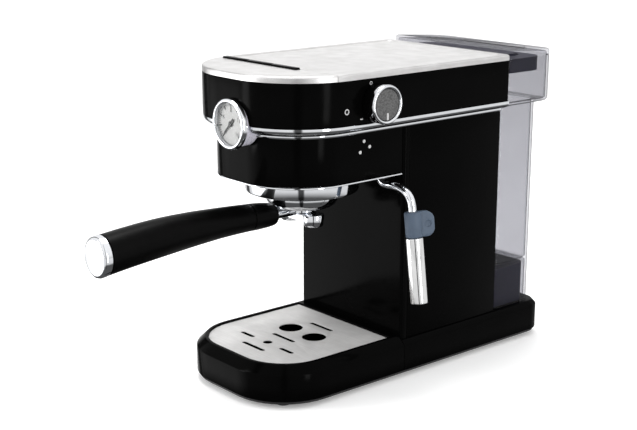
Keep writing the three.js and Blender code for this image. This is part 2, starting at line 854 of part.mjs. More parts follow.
function addSteam() {
  const socketBore = 2 * wandTubeRadius - 1.7; // leaves room for the bend below the head
  const socketWall = 3.1;
  add('wand_socket', ring('z', socketBore + socketWall, socketBore, collarTop - 4, collarTop, 16)
    .translate(wandX, wandY, 0), matteBlack());

  const tilt = THREE.MathUtils.degToRad(wandTilt);
  const down = (distance) => [
    elbowX + distance * Math.sin(tilt),
    wandY,
    elbowZ - distance * Math.cos(tilt),
  ];
  const runZ = headBottom - 8.6;
  const tube = bar([
    [wandX, wandY, headBottom + 8],
    [wandX, wandY, headBottom],
    [wandX + 1, wandY, headBottom - 5],
    [wandX + 6, wandY, runZ],
    [wandX + 16, wandY, runZ],
    [elbowX - 12, wandY, runZ - 0.6],
    [elbowX - 4.2, wandY, runZ - 4.2],
    down(0),
    down(14),
    down(40),
    down(68),
  ], wandTubeRadius, 4, 30);
  add('wand_tube', tube, chrome());

  // Grip and sleeve are turned round Z with their top at zero, tilted and set on the straight of the tube.
  const gripTop = 6;
  const onWand = (geometry, distance) => geometry.rotateY(-tilt).translate(...down(distance));
  const gripRing = ring('z', gripRadius, wandTubeRadius + gap, -gripLength, 0, 20);
  const tabShape = new THREE.Shape();
  const tabReach = 17;
  const tabRound = 7;
  tabShape.moveTo(gripRadius - 2, -gripLength);
  tabShape.absarc(tabReach - tabRound, tabRound - gripLength, tabRound, -Math.PI / 2, 0, false);
  tabShape.absarc(tabReach - tabRound, -tabRound, tabRound, 0, Math.PI / 2, false);
  tabShape.lineTo(gripRadius - 2, 0);
  const tabThickness = 5;
  const tab = prism(tabShape, -tabThickness / 2, tabThickness / 2, 6).rotateX(Math.PI / 2);
  tab.rotateZ(THREE.MathUtils.degToRad(62));
  add('wand_grip', onWand(join(gripRing, tab), gripTop), finish(0x6f8296, 0.55, 0));
  const sleeve = turned('z', [
    [sleeveBore, -sleeveLength],
    [sleeveRadius - 0.5, -sleeveLength],
    [sleeveRadius, 0.6 - sleeveLength],
    [sleeveRadius, -0.6],
    [sleeveRadius - 0.5, 0],
    [sleeveBore, 0],
    [sleeveBore, -sleeveLength],
  ], 20);
  add('wand_sleeve', onWand(sleeve, gripTop + gripLength + gap), brushed());

  const knobStart = headHalf + gap;
  const skirtEnd = knobStart + knobSkirt;
  const atKnob = (geometry) => geometry.translate(0, knobY, knobZ);
  add('knob_shaft', atKnob(rod('x', knobShaftRadius, headHalf - 16, skirtEnd - 2, 16)), steel());
  add('knob_skirt', atKnob(turned('x', [
    [knobShaftRadius + gap, knobStart],
    [knobRadius, knobStart],
    [knobRadius, skirtEnd],
    [0, skirtEnd],
    [0, skirtEnd - 2 + gap],
    [knobShaftRadius + gap, skirtEnd - 2 + gap],
    [knobShaftRadius + gap, knobStart],
  ], 32)), glossBlack());
  const ringInner = knobRadius - 2.8;
  const ringStart = skirtEnd + gap;
  add('knob_ring', atKnob(turned('x', [
    [ringInner, ringStart],
    [knobRadius, ringStart],
    [knobRadius, ringStart + knobRingDepth - 0.8],
    [knobRadius - 0.8, ringStart + knobRingDepth],
    [ringInner, ringStart + knobRingDepth],
    [ringInner, ringStart],
  ], 32)), chrome());
  const cap = rod('x', ringInner - gap, ringStart, ringStart + knobRingDepth - 0.8, 32);
  add('knob_cap', atKnob(cap), finish(0x6b6b6b, 0.5, 0.3));

  // Valve: a turned body on the knob's shaft, with the pipe that feeds the wand.
  const valveEnd = headHalf - wall - 2;
  const body = rod('x', 9, 42, valveEnd, 24).translate(0, knobY, knobZ);
  const feed = bar([
    [wandX, knobY + 3, knobZ - 4],
    [wandX, knobY + 7, knobZ - 16],
    [wandX, wandY, headBottom + 34],
    [wandX, wandY, headBottom + 12],
  ], 2.5, 4, 16);
  const stem = rod('x', knobShaftRadius + 0.1, headHalf - 17, headHalf, 16).translate(0, knobY, knobZ);
  add('steam_valve', cut(join(body, feed), stem), castMetal());
}

// ---------- Pump, hoses and electronics ----------

function addInside() {
  const pumpRear = pumpFront + pumpLength;
  const portRadius = 5;
  const portLength = 8;
  const valveRadius = 12;
  const coilRear = pumpRear - 22;
  const pump = turned('y', [
    [0, pumpFront],
    [portRadius, pumpFront],
    [portRadius, pumpFront + portLength],
    [pumpRadius, pumpFront + portLength],
    [pumpRadius, coilRear],
    [valveRadius, coilRear],
    [valveRadius, pumpRear - portLength],
    [portRadius, pumpRear - portLength],
    [portRadius, pumpRear],
    [0, pumpRear],
  ]).translate(0, 0, pumpZ);
  add('pump', pump, castMetal());

  const clearance = 2 * gap;
  add('suction_hose', bar([
    [0, pumpRear + clearance, pumpZ],
    [0, pumpRear + 5, pumpZ],
    [0, headRear - wall, hoseZ],
    [0, tankFront + seatInset - gap, hoseZ],
  ], hoseRadius, 4, 12), rubber());
  const riserY = pumpFront - 10;
  const inletZ = headBottom + 20;
  add('pressure_hose', bar([
    [0, pumpFront - clearance, pumpZ],
    [0, pumpFront - 5, pumpZ],
    [0, riserY, pumpZ + 12],
    [0, riserY, pumpZ + 70],
    [0, riserY, inletZ - 10],
    [0, riserY - 8, inletZ],
    [0, riserY - 20, inletZ],
    [0, boilerRadius + clearance, inletZ],
  ], hoseRadius, 4, 28), rubber());

  // The board stands on edge beside the pump; each part on it has a height off the board and a place.
  const boardX = -48;
  const boardHalf = 0.8;
  const parts = [
    [18, 80, 104, 120, 148],
    [14, 112, 128, 122, 138],
    [10, 84, 140, 164, 176],
  ].map(([height, front, rear, bottom, top]) => box(boardX, boardX + height, front, rear, bottom, top));
  const board = box(boardX - boardHalf, boardX + boardHalf, 72, 150, 110, 195);
  add('control_board', join(board, ...parts), finish(0x1f5a35, 0.6, 0));
}

// ---------- Pressure gauge ----------

function addGauge() {
  const at = (geometry) => geometry.translate(gaugeX, 0, gaugeZ);
  const lip = 3.2;
  const bezelBack = gaugeFront + bezelDepth;
  const dialRadius = gaugeRadius - lip - gap;
  add('gauge_bezel', at(turned('y', [
    [gaugeRadius - lip, gaugeFront + 0.8],
    [gaugeRadius - lip + 0.8, gaugeFront],
    [gaugeRadius - 1, gaugeFront],
    [gaugeRadius, gaugeFront + 1.2],
    [gaugeRadius, bezelBack],
    [gaugeRadius - lip, bezelBack],
    [gaugeRadius - lip, gaugeFront + 0.8],
  ], 32)), chrome());
  const housingFront = bezelBack + gap;
  add('gauge_housing', at(turned('y', [
    [0, housingFront],
    [housingRadius, housingFront],
    [housingRadius, housingFront + housingDepth],
    [4, housingFront + housingDepth],
    [4, housingFront + housingDepth + 8],
    [0, housingFront + housingDepth + 8],
  ], gaugeSegments)), chrome());
  const dialBack = bezelBack - 0.2;
  const pinRadius = 0.8;
  const pinHole = rod('y', pinRadius + 0.2, dialBack - 2, dialBack + 1, 12);
  const dial = cut(rod('y', dialRadius, dialBack - 0.8, dialBack, 28), pinHole);
  add('gauge_dial', at(dial), finish(0xf0f0ee, 0.5, 0));
  const glassFront = gaugeFront + 1;
  add('gauge_glass', at(rod('y', dialRadius, glassFront, glassFront + 1, 28)), clear());

  // The needle points down to the left at zero, with a short tail beyond its pin.
  const needleLength = 11.5;
  const tail = 5;
  const shape = new THREE.Shape();
  shape.moveTo(-0.9, -tail);
  shape.lineTo(0.9, -tail);
  shape.lineTo(0.3, needleLength);
  shape.lineTo(-0.3, needleLength);
  const blade = prism(shape, -0.3, 0.3).rotateX(Math.PI / 2).translate(0, dialBack - 1.7, 0);
  const hub = rod('y', 1.8, dialBack - 2.2, dialBack - 1.1, 16);
  const pin = rod('y', pinRadius, dialBack - 1.5, dialBack - 0.2, 12);
  const needle = join(blade, hub, pin).rotateY(THREE.MathUtils.degToRad(-135));
  add('gauge_needle', at(needle), matteBlack());
}

// ---------- Water tank, lid and seat ----------

function addTank() {
  const bottom = deckTop + gap;
  const lower = outline(tankHalf, tankFront, tankRear, tankFrontCorner, tankCorner);
  const inside = (inset) => outline(
    tankHalf - inset,
    tankFront + inset,
    tankRear - inset,
    tankFrontCorner - inset,
    tankCorner - inset,
  );
  const upper = outline(tankTopHalf, tankFront, tankTopRear, tankFrontCorner, tankTopCorner);
  const upperInside = outline(
    tankTopHalf - tankWall,
    tankFront + tankWall,
    tankTopRear - tankWall,
    tankFrontCorner - tankWall,
    tankTopCorner - tankWall,
  );
  // The wide top has an eased lower edge, so it is made upside down and turned over.
  const stepEase = 3.5;
  const wide = eased(upper, -tankTop, -tankStep, stepEase, stepEase).scale(1, 1, -1);
  const lugX = 32;
  const lugHalf = 2;
  const pinY = tankTopRear - 2.4;
  const pinZ = tankTop + 3;
  const lugs = [-1, 1].map((sideSign) => box(
    sideSign * lugX - lugHalf,
    sideSign * lugX + lugHalf,
    tankTopRear - 4.4,
    tankTopRear,
    tankTop - 3,
    pinZ + 1.9,
  ));
  const pinBore = rod('x', hingePinRadius + 0.15, -reach, reach, 16).translate(0, pinY, pinZ);
  const outlet = rod('z', 4, tankFloor - 1, tankFloor + tankWall + 1, 16).translate(0, tankFront + tankDepth / 2, 0);
  const tank = cut(
    join(prism(lower, bottom, tankStep + 2), wide, ...lugs),
    prism(inside(tankWall), bottom - 1, tankFloor),
    prism(inside(tankWall), tankFloor + tankWall, tankStep + tankWall + 1),
    common(
      prism(upperInside, tankStep + tankWall, tankTop + 1),
      box(-reach, reach, -reach, tankTopRear - 4.4, 0, reach),
    ),
    pinBore,
    outlet,
    box(-12, 12, tankFront - 1, tankFront + tankWall + 1, bottom - 1, tankFloor - 10),
  );
  add('water_tank', tank, clear());

  // Lid: a shallow wedge, hollow underneath, that turns on a pin near its rear edge.
  const lidBottom = tankTop + 0.5;
  const side = new THREE.Shape([
    [tankFront, lidBottom],
    [tankTopRear - 2, lidBottom],
    [tankTopRear, lidBottom + 1.6],
    [tankTopRear, lidRearTop - 1.2],
    [tankTopRear - 1.4, lidRearTop],
    [tankFront + 2, lidFrontTop],
    [tankFront, lidFrontTop - 1],
  ].map(([y, z]) => new THREE.Vector2(y, z)));
  const wedge = prism(side, -reach / 2, reach / 2).rotateX(Math.PI / 2).rotateZ(Math.PI / 2);
  const hollowSide = new THREE.Shape([
    [tankFront + tankWall, lidBottom - 1],
    [pinY - 4, lidBottom - 1],
    [pinY - 4, lidRearTop - tankWall],
    [tankFront + tankWall, lidFrontTop - tankWall],
  ].map(([y, z]) => new THREE.Vector2(y, z)));
  const hollow = prism(hollowSide, -reach / 2, reach / 2).rotateX(Math.PI / 2).rotateZ(Math.PI / 2);
  const lugSlots = [-1, 1].map((sideSign) => box(
    sideSign * lugX - lugHalf - gap,
    sideSign * lugX + lugHalf + gap,
    tankTopRear - 6.6,
    tankTopRear + 1,
    lidBottom - 1,
    lidFrontTop + 1,
  ));
  const lid = cut(
    common(prism(upper, lidBottom, lidFrontTop + 1), wedge),
    common(prism(upperInside, lidBottom - 1, lidFrontTop + 1), hollow),
    pinBore,
    ...lugSlots,
  );
  add('tank_lid', lid, clear());
  const pinHalf = lugX + lugHalf + 3;
  add('lid_pin', rod('x', hingePinRadius, -pinHalf, pinHalf, 12).translate(0, pinY, pinZ), steel());

  // Handle frame inside the tank's mouth, with a bar across it to lift the tank by.
  const frameInset = tankWall + gap;
  const frameRear = tankTopRear - 13;
  const frame = outline(
    tankTopHalf - frameInset,
    tankFront + frameInset,
    frameRear,
    tankFrontCorner - frameInset,
    14,
  );
  const mouth = outline(tankTopHalf - 20, tankFront + 9, frameRear - 8, 4, 8);
  const frameBottom = tankTop - 12;
  const barY = (tankFront + frameRear) / 2;
  const grip = box(21 - tankTopHalf - 3, tankTopHalf - 18, barY - 5, barY + 5, frameBottom, tankTop + 2);
  add('tank_handle', join(
    cut(prism(frame, frameBottom, tankTop), prism(mouth, frameBottom - 1, tankTop + 1)),
    grip,
  ), navy());

  // Seat block on the base deck, inside the tank's skirt, with the socket for the tank's outlet.
  const seat = outline(
    tankHalf - seatInset,
    tankFront + seatInset,
    tankRear - seatInset,
    2,
    tankCorner - seatInset,
  );
  const seatTop = deckTop + gap + seatHeight;
  const socket = rod('z', 8, seatTop - 8, seatTop + 1, 24).translate(0, tankFront + tankDepth / 2, 0);
  add('tank_seat', cut(prism(seat, deckTop + gap, seatTop), socket), navy());
}

addBase();
addDripTray();
addColumn();
addHead();
addKeys();
addGroup();
addPortafilter();
addSteam();
addInside();
addGauge();
addTank();

// The origin goes to the middle of the footprint, at table height.
const extent = new THREE.Box3().setFromObject(machine);
machine.position.set(
  -(extent.min.x + extent.max.x) / 2,
  -(extent.min.y + extent.max.y) / 2,
  -extent.min.z,
);

export default machine;
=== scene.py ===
import json
import math

import bmesh
import bpy
from mathutils import Matrix, Vector


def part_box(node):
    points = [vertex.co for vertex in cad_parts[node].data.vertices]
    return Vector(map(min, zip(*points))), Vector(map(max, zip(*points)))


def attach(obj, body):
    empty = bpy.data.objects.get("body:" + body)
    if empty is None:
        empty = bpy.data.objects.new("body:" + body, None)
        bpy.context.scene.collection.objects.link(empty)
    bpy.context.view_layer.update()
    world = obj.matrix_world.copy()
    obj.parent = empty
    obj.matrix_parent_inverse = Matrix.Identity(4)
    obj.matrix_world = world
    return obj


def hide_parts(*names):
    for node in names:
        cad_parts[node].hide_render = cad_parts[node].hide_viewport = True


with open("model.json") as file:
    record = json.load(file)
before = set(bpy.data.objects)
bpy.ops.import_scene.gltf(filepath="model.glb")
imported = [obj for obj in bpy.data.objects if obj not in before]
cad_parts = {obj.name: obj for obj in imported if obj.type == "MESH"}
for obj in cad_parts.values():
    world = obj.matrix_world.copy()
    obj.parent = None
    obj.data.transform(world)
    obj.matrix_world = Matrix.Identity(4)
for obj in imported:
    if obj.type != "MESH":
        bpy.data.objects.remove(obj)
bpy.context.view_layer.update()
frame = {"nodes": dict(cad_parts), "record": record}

# Sizes are in millimetres and places are counted from the brew group's axis at worktop height:
# x to the user's right, y to the back, z up. MM turns them to metres.
MM = 0.001
group_low, group_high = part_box("group_collar")
GROUP = Vector(((group_low.x + group_high.x) / 2, (group_low.y + group_high.y) / 2, 0)) / MM

GAP = 0.3
WALL = 2.5
# Corners nearer than this, in metres, are one.
WELD = 1e-6

# Head
HEAD_HALF = 75
HEAD_FRONT = -75.5
HEAD_REAR = 169
HEAD_CORNER = 62
BAND_INSET = 10
BAND_BOTTOM = 215.5
BAND_TOP = 225.1
UPPER_TOP = 259.9
TOP_BOTTOM = 260.2
TOP_TOP = 265.2
LOWER_HALF = 63.5
LOWER_FRONT = -65.5
LOWER_CORNER = 52.5
LOWER_BOTTOM = 177
KEY_REAR = -25.2
KEY_DEPTH = 6
KEY_LEFT = -66
KEY_PITCH = 32

# Column and base
COLUMN_HALF = 65.5
COLUMN_FRONT = 54
COLUMN_SEAM = 60
BASE_HALF = 70
BASE_FRONT = -85
BASE_REAR = 233
BASE_FRONT_CORNER = 50.5
BASE_REAR_CORNER = 18
CASE_BOTTOM = 6.3
BASE_WALL_TOP = 29
DECK_TOP = 33
RIM_TOP = 36
CHAMFER = 7.5
GLAND_X = -40
GLAND_Z = 18
FLOAT_Y = -37.5

# Group, filter holder and handle
COLLAR_BOTTOM = 160.5
COLLAR_TOP = 176.7
COLLAR_RADIUS = 47.5
FILTER_TOP = 171
FILTER_BOTTOM = 147
FILTER_RADIUS = 31
HUB_BOTTOM = 142
HUB_RADIUS = 12
HANDLE_START = -30
HANDLE_TOP_Y = -85
HANDLE_TOP_Z = 145.5
HANDLE_ARCH = 862
HANDLE_END = -199

# Gauge and knob
GAUGE_X = 7.5
GAUGE_Z = 225.2
GAUGE_FRONT = -81
GAUGE_RADIUS = 20.2
KNOB_Y = 13.8
KNOB_Z = 240.5
KNOB_RADIUS = 15.5

# Steam wand
WAND_X = 50
WAND_Y = 41
WAND_TILT = math.radians(7.6)
ELBOW_X = 88.4
ELBOW_Z = 157

# Water tank
TANK_HALF = 64
TANK_FRONT = 171
TANK_REAR = 223
TANK_TOP_HALF = 71
TANK_TOP_REAR = 233
TANK_CORNER = 14
TANK_FRONT_CORNER = 5
TANK_STEP = 219
TANK_TOP = 259.4
TANK_FLOOR = 71.4
TANK_WALL = 2.2
LID_TOP = 269.3
LID_FALL = 4.7

SLOT_OF = {part["node"]: part["material_slot"] for part in frame["record"]["subparts"]}
BODY_OF = {
    node: body
    for body, members in frame["record"]["behaviour"]["bodies"].items()
    for node in members
}


# ---------------- materials

def linear(colour, alpha=1.0):
    """A hex sRGB colour as the linear value that the shader takes."""
    channels = [int(colour[i:i + 2], 16) / 255 for i in (1, 3, 5)]
    return tuple(c / 12.92 if c <= 0.04045 else ((c + 0.055) / 1.055) ** 2.4 for c in channels) + (alpha,)


def add(tree, kind, inputs=None, **settings):
    """One node with its settings, and its inputs linked or set."""
    made = tree.nodes.new(kind)
    for key, value in settings.items():
        setattr(made, key, value)
    for key, value in (inputs or {}).items():
        if isinstance(value, bpy.types.NodeSocket):
            tree.links.new(value, made.inputs[key])
        else:
            made.inputs[key].default_value = value
    return made


def maths(tree, operation, *values):
    """The result of a Math node."""
    return add(tree, "ShaderNodeMath", dict(enumerate(values)), operation=operation).outputs[0]


def scaled(tree, vector, scale):
    """A vector or a colour times a number."""
    return add(tree, "ShaderNodeVectorMath", {0: vector, "Scale": scale}, operation="SCALE").outputs[0]


def material(name, colour, roughness, **sockets):
    """An empty finish with its shader, and the place on the object in millimetres for its patterns."""
    made = bpy.data.materials.new(name)
    made.use_nodes = True
    tree = made.node_tree
    tree.nodes.clear()
    place = add(tree, "ShaderNodeTexCoord")
    shader = add(tree, "ShaderNodeBsdfPrincipled", {"Base Color": linear(colour), "Roughness": roughness})
    for key, value in sockets.items():
        shader.inputs[key.replace("_", " ")].default_value = value
    add(tree, "ShaderNodeOutputMaterial", {"Surface": shader.outputs[0]})
    return made, tree, shader, scaled(tree, place.outputs["Object"], 1 / MM)


def grain(tree, place, spacing, stretch=(1, 1, 1), detail=3.0):
    """Noise whose features are about as far apart as spacing, in millimetres, drawn out along an axis."""
    drawn = add(tree, "ShaderNodeMapping", {"Vector": place, "Scale": [1 / (spacing * s) for s in stretch]})
    noise = add(tree, "ShaderNodeTexNoise", {"Vector": drawn.outputs[0], "Scale": 1.0, "Detail": detail})
    return noise.outputs["Fac"]


def spread(tree, value, low, high, start=0.3, end=0.7):
    """A pattern's value brought between low and high."""
    ranged = add(tree, "ShaderNodeMapRange", {
        "Value": value, "From Min": start, "From Max": end, "To Min": low, "To Max": high,
    })
    return ranged.outputs["Result"]


def between(tree, value, start, end):
    """A colour between two hex colours, by a pattern's value."""
    mixed = add(tree, "ShaderNodeMix", {"Factor": value}, data_type="RGBA")
    mixed.inputs["A"].default_value = linear(start)
    mixed.inputs["B"].default_value = linear(end)
    return mixed.outputs["Result"]


def tinted(tree, shader, value, dark, light):
    """The colour drifts between two close shades with a pattern's value."""
    tree.links.new(between(tree, value, dark, light), shader.inputs["Base Color"])


def bumped(tree, shader, height, strength, distance):
    """Relief of a real depth in millimetres."""
    bump = add(tree, "ShaderNodeBump", {"Height": height, "Strength": strength, "Distance": distance * MM})
    tree.links.new(bump.outputs[0], shader.inputs["Normal"])


def brushed_steel(name, stretch, light="#e0dfdf", dark="#cbcac9", rough=(0.3, 0.42), metallic=1.0):
    """Stainless sheet brushed one way: fine scratches drawn as lines 0.6 mm apart, coarser than the real
    grit so that they show, with the lustre pulled out across them."""
    made, tree, shader, place = material(name, light, 0.3, Metallic=metallic)
    lines = grain(tree, place, 0.6, stretch, detail=4.0)
    tree.links.new(spread(tree, lines, *rough), shader.inputs["Roughness"])
    blend = maths(tree, "MULTIPLY", lines, grain(tree, place, 14))
    tinted(tree, shader, spread(tree, blend, 0, 1, 0.12, 0.4), dark, light)
    bumped(tree, shader, lines, 0.2, 0.008)
    return made


def grained(name, dark, light, rough, spacing, relief=(), stretch=(1, 1, 1), detail=3.0, rough_spacing=0,
            relief_spacing=0, **sockets):
    """A finish whose tone, roughness and relief follow one grain, or a grain of their own where one is given."""
    made, tree, shader, place = material(name, light, rough[0], **sockets)
    pattern = grain(tree, place, spacing, stretch, detail)
    tinted(tree, shader, pattern, dark, light)
    if len(rough) > 1:
        haze = grain(tree, place, rough_spacing) if rough_spacing else pattern
        tree.links.new(spread(tree, haze, *rough), shader.inputs["Roughness"])
    if relief:
        bumped(tree, shader, grain(tree, place, relief_spacing) if relief_spacing else pattern, *relief)
    return made


def pebbled_cap():
    """Grey moulded face with a pebbled grip texture, dull between bright rims."""
    made, tree, shader, place = material("pebbled_grey_plastic", "#6b6b6b", 0.42, Metallic=0.35)
    pebble = add(tree, "ShaderNodeTexVoronoi", {"Vector": place, "Scale": 0.9}, distance="EUCLIDEAN")
    height = pebble.outputs["Distance"]
    tree.links.new(spread(tree, height, 0.36, 0.55, 0, 0.8), shader.inputs["Roughness"])
    tinted(tree, shader, spread(tree, height, 0, 1, 0, 0.8), "#6c6c6c", "#484848")
    bumped(tree, shader, height, 0.6, 0.25)
    return made


def clear_plastic(name, dark, light, edge, falloff):
    """Clear moulded plastic with a faint smoke tint: light passes straight through its thin walls, and they
    darken where they are seen edge on."""
    made, tree, shader, place = material(name, light, 0.05, IOR=1.49)
    facing = add(tree, "ShaderNodeLayerWeight", {"Blend": 0.5})
    thin = maths(tree, "POWER", facing.outputs["Facing"], falloff)
    clear = add(tree, "ShaderNodeBsdfTransparent", {"Color": between(tree, thin, light, edge)})
    gloss = add(tree, "ShaderNodeBsdfGlossy", {"Color": linear("#ffffff"), "Roughness": 0.05})
    shine = spread(tree, thin, 0.004, 0.12, 0, 1)
    mixed = add(tree, "ShaderNodeMixShader", {0: shine, 1: clear.outputs[0], 2: gloss.outputs[0]})
    tinted(tree, shader, grain(tree, place, 30, detail=1.0), dark, light)
    body = add(tree, "ShaderNodeMixShader", {0: 0.006, 1: mixed.outputs[0], 2: shader.outputs[0]})
    result = next(n for n in tree.nodes if n.type == "OUTPUT_MATERIAL")
    tree.links.new(body.outputs[0], result.inputs["Surface"])
    return made


def thin_glass():
    """A small flat glass, so thin that light goes straight through with a faint glint."""
    made, tree, shader, place = material("flat_gauge_glass", "#f4f8f8", 0.02, IOR=1.5)
    smear = grain(tree, place, 6)
    tree.links.new(spread(tree, smear, 0.01, 0.02), shader.inputs["Alpha"])
    tinted(tree, shader, smear, "#e8eef0", "#f4f8f8")
    return made


# Injection-moulded ABS from a polished tool: deep black, sharp reflections over a faint flow waviness.
GLOSS = grained("gloss_black_abs", "#030303", "#050505", (0.11, 0.18), 28, (0.15, 0.04), detail=1.0,
                rough_spacing=6, IOR=1.46, Specular_IOR_Level=0.02)
# Compression-moulded black handle resin: gloss with a soft sheen that spreads the light wider.
HANDLE = grained("black_handle_resin", "#030303", "#050505", (0.31, 0.37), 9, (0.1, 0.01), detail=1.0,
                 relief_spacing=1.2, IOR=1.5, Specular_IOR_Level=0.05)
CAP_GREY = pebbled_cap()
GAUGE_GLASS = thin_glass()
TANK_PLASTIC = clear_plastic("smoke_clear_tank_plastic", "#d8d8dc", "#e1e1e3", "#0c0c12", 4.5)
LID_PLASTIC = clear_plastic("smoke_clear_lid_plastic", "#d8d8dc", "#e7e7e9", "#4c4c54", 9.0)
STEEL_LONG = brushed_steel("steel_brushed_lengthways", (1, 60, 1))
STEEL_PLATE = brushed_steel("drip_plate_steel", (40, 1, 1), "#dad9d8", "#c9c8c7", (0.5, 0.6), 0.15)
STEEL_BRIGHT = brushed_steel("polished_steel", (1, 1, 20), "#f1f1f1", "#e2e2e2", (0.1, 0.16))
# Moulded plastic with a spark-eroded texture: dull black grain a millimetre across.
MATTE = grained("textured_black_plastic", "#111112", "#1c1c1e", (0.48, 0.66), 1.1, (0.6, 0.06), IOR=1.5)
# Bright nickel-chrome plate on a polished casting: a mirror with a trace of polishing haze.
CHROME = grained("bright_chrome_plate", "#dcdee2", "#eceef1", (0.04, 0.1), 9, Metallic=1.0)
# Die-cast aluminium as cast: pale, dull and slightly pitted.
ALUMINIUM = grained("die_cast_aluminium", "#a5a5a2", "#c8c8c5", (0.42, 0.62), 1.6, (0.5, 0.08), Metallic=1.0)
# Brass turned on a lathe: warm metal with fine rings.
BRASS = grained("turned_brass", "#b8934b", "#d4b26c", (0.22, 0.38), 0.7, (), (1, 12, 12), Metallic=1.0)
# Moulded rubber and silicone: a soft surface with a bloom of fine grain and no clear reflection.
SOFT = {"rough": (0.5, 0.7), "spacing": 1.4, "relief": (0.4, 0.04), "IOR": 1.52, "Sheen_Roughness": 0.5}
RUBBER = grained("black_rubber", "#131313", "#1f1f1f", Sheen_Weight=0.1, **SOFT)
SILICONE = grained("blue_grey_silicone", "#3a4757", "#4b5a6c", Sheen_Weight=0.02, **SOFT)
# Pale, slightly lilac silver, partly diffuse: its light colour is painted reflection, so that it stays light beside
# black walls that real chrome would mirror dark.
PAINTED_SHEEN_SILVER = grained("silver_with_painted_reflection", "#c6c4d0", "#d8d6e0", (0.24, 0.34), 1.2, Metallic=0.35)
# White enamelled dial: smooth, slightly warm, with a fine orange peel.
ENAMEL = grained("white_dial_enamel", "#a2a2a1", "#b0b0af", (0.4,), 0.9, (0.2, 0.02), IOR=1.5)
# Screen-printed ink: thin, even and just duller than what it is printed on.
INK = grained("black_dial_ink", "#0d0d0d", "#191919", (0.45,), 0.8)
WHITE_INK = grained("white_panel_ink", "#a8a8a8", "#c4c4c4", (0.45,), 0.8)
# Plain moulded plastic with a light even grain.
MOULDED = {"spacing": 1.5, "relief": (0.4, 0.04), "IOR": 1.5}
NAVY = grained("navy_moulded_plastic", "#161428", "#221f3a", (0.36, 0.5), **MOULDED)
RED = grained("red_float_plastic", "#8c1518", "#a31c1f", (0.34, 0.48), **MOULDED)
HOSE = grained("milky_hose", "#cfcfca", "#e4e4df", (0.34, 0.48), **MOULDED)
BOARD = grained("green_circuit_board", "#12502b", "#1b6a3a", (0.39, 0.53), **MOULDED)

FINISH = {
    "gloss_black": GLOSS,
    "matte_black": MATTE,
    "chrome": CHROME,
    "brushed_steel": STEEL_LONG,
    "cast_aluminium": ALUMINIUM,
    "brass": BRASS,
    "rubber": RUBBER,
    "grip_rubber": SILICONE,
    "knob_grey": CAP_GREY,
    "hose": HOSE,
    "board_green": BOARD,
    "dial_white": ENAMEL,
    "gauge_glass": GAUGE_GLASS,
    "tank_plastic": TANK_PLASTIC,
    "navy": NAVY,
    "float_red": RED,
}
for node, thing in frame["nodes"].items():
    thing.data.materials.clear()
    thing.data.materials.append(FINISH[SLOT_OF[node]])


# ---------------- shapes

def outline(half, front, rear, front_corner, rear_corner, steps=20):
    """A footprint with rounded corners, anticlockwise from above, always with the same number of points."""
    corners = (
        (half - front_corner, front + front_corner, front_corner, -90),
        (half - rear_corner, rear - rear_corner, rear_corner, 0),
        (rear_corner - half, rear - rear_corner, rear_corner, 90),
        (front_corner - half, front + front_corner, front_corner, 180),
    )
    points = []
    for x, y, radius, start in corners:
        for i in range(steps + 1):
            angle = math.radians(start + 90 * i / steps)
            points.append((x + radius * math.cos(angle), y + radius * math.sin(angle)))
    return points


def level(points, z):
    """A footprint at a height, which may be a rule of y for a sloping top."""
    rule = z if callable(z) else lambda y: z
    return [(x, y, rule(y)) for x, y in points]


def loft(rings, closed=False):
    """A skin over rings that rise anticlockwise, capped at both ends or closed on itself."""
    count = len(rings[0])
    points = [point for ring in rings for point in ring]
    faces = []
    spans = len(rings) if closed else len(rings) - 1
    for i in range(spans):
        low, high = i * count, ((i + 1) % len(rings)) * count
        for j in range(count):
            k = (j + 1) % count
            faces.append((low + j, low + k, high + k, high + j))
    if not closed:
        faces.append(tuple(reversed(range(count))))
        faces.append(tuple(range((len(rings) - 1) * count, len(rings) * count)))
    return points, faces


def circle(radius, height, axis, at, sides):
    """A ring round an axis, at a height along it, as seen from the axis's far end."""
    points = []
    for i in range(sides):
        a = 2 * math.pi * i / sides
        u, v = radius * math.cos(a), radius * math.sin(a)
        place = {"z": (u, v, height), "x": (height, u, v), "y": (v, height, u)}[axis]
        points.append(tuple(p + o for p, o in zip(place, at)))
    return points


def lathe(profile, axis="z", at=(0, 0, 0), sides=72):
    """A turned shape from radius and height pairs. A profile that ends where it starts is a ring."""
    closed = profile[0] == profile[-1]
    rings = [circle(max(r, 0.0), h, axis, at, sides) for r, h in (profile[:-1] if closed else profile)]
    return loft(rings, closed)


def smooth_path(points, steps=8):
    """A smooth curve through points."""
    vectors = [Vector(p) for p in points]
    ends = [2 * vectors[0] - vectors[1], *vectors, 2 * vectors[-1] - vectors[-2]]
    path = []
    for a, b, c, d in zip(ends, ends[1:], ends[2:], ends[3:]):
        for i in range(steps):
            t = i / steps
            path.append(0.5 * (2 * b + (c - a) * t + (2 * a - 5 * b + 4 * c - d) * t ** 2
                               + (3 * b - a - 3 * c + d) * t ** 3))
    path.append(vectors[-1])
    return path


def sweep(path, radius, sides=24):
    """A round bar along a path."""
    rings = []
    normal = None
    for i, point in enumerate(path):
        ahead = path[min(i + 1, len(path) - 1)] - path[max(i - 1, 0)]
        ahead.normalize()
        if normal is None:
            normal = ahead.orthogonal().normalized()
        normal = (normal - ahead * normal.dot(ahead)).normalized()
        across = ahead.cross(normal)
        rings.append([
            tuple(point + radius * (math.cos(a) * normal + math.sin(a) * across))
            for a in (2 * math.pi * k / sides for k in range(sides))
        ])
    return loft(rings)


def block(x0, x1, y0, y1, z0, z1):
    """A box, to be rounded by a bevel."""
    ring = [(x0, y0), (x1, y0), (x1, y1), (x0, y1)]
    return loft([level(ring, z0), level(ring, z1)])


def rod(radius, low, high, axis="z", at=(0, 0, 0), sides=72):
    """A plain round bar, most often a cutter."""
    return lathe([(0, low), (radius, low), (radius, high), (0, high)], axis, at, sides)


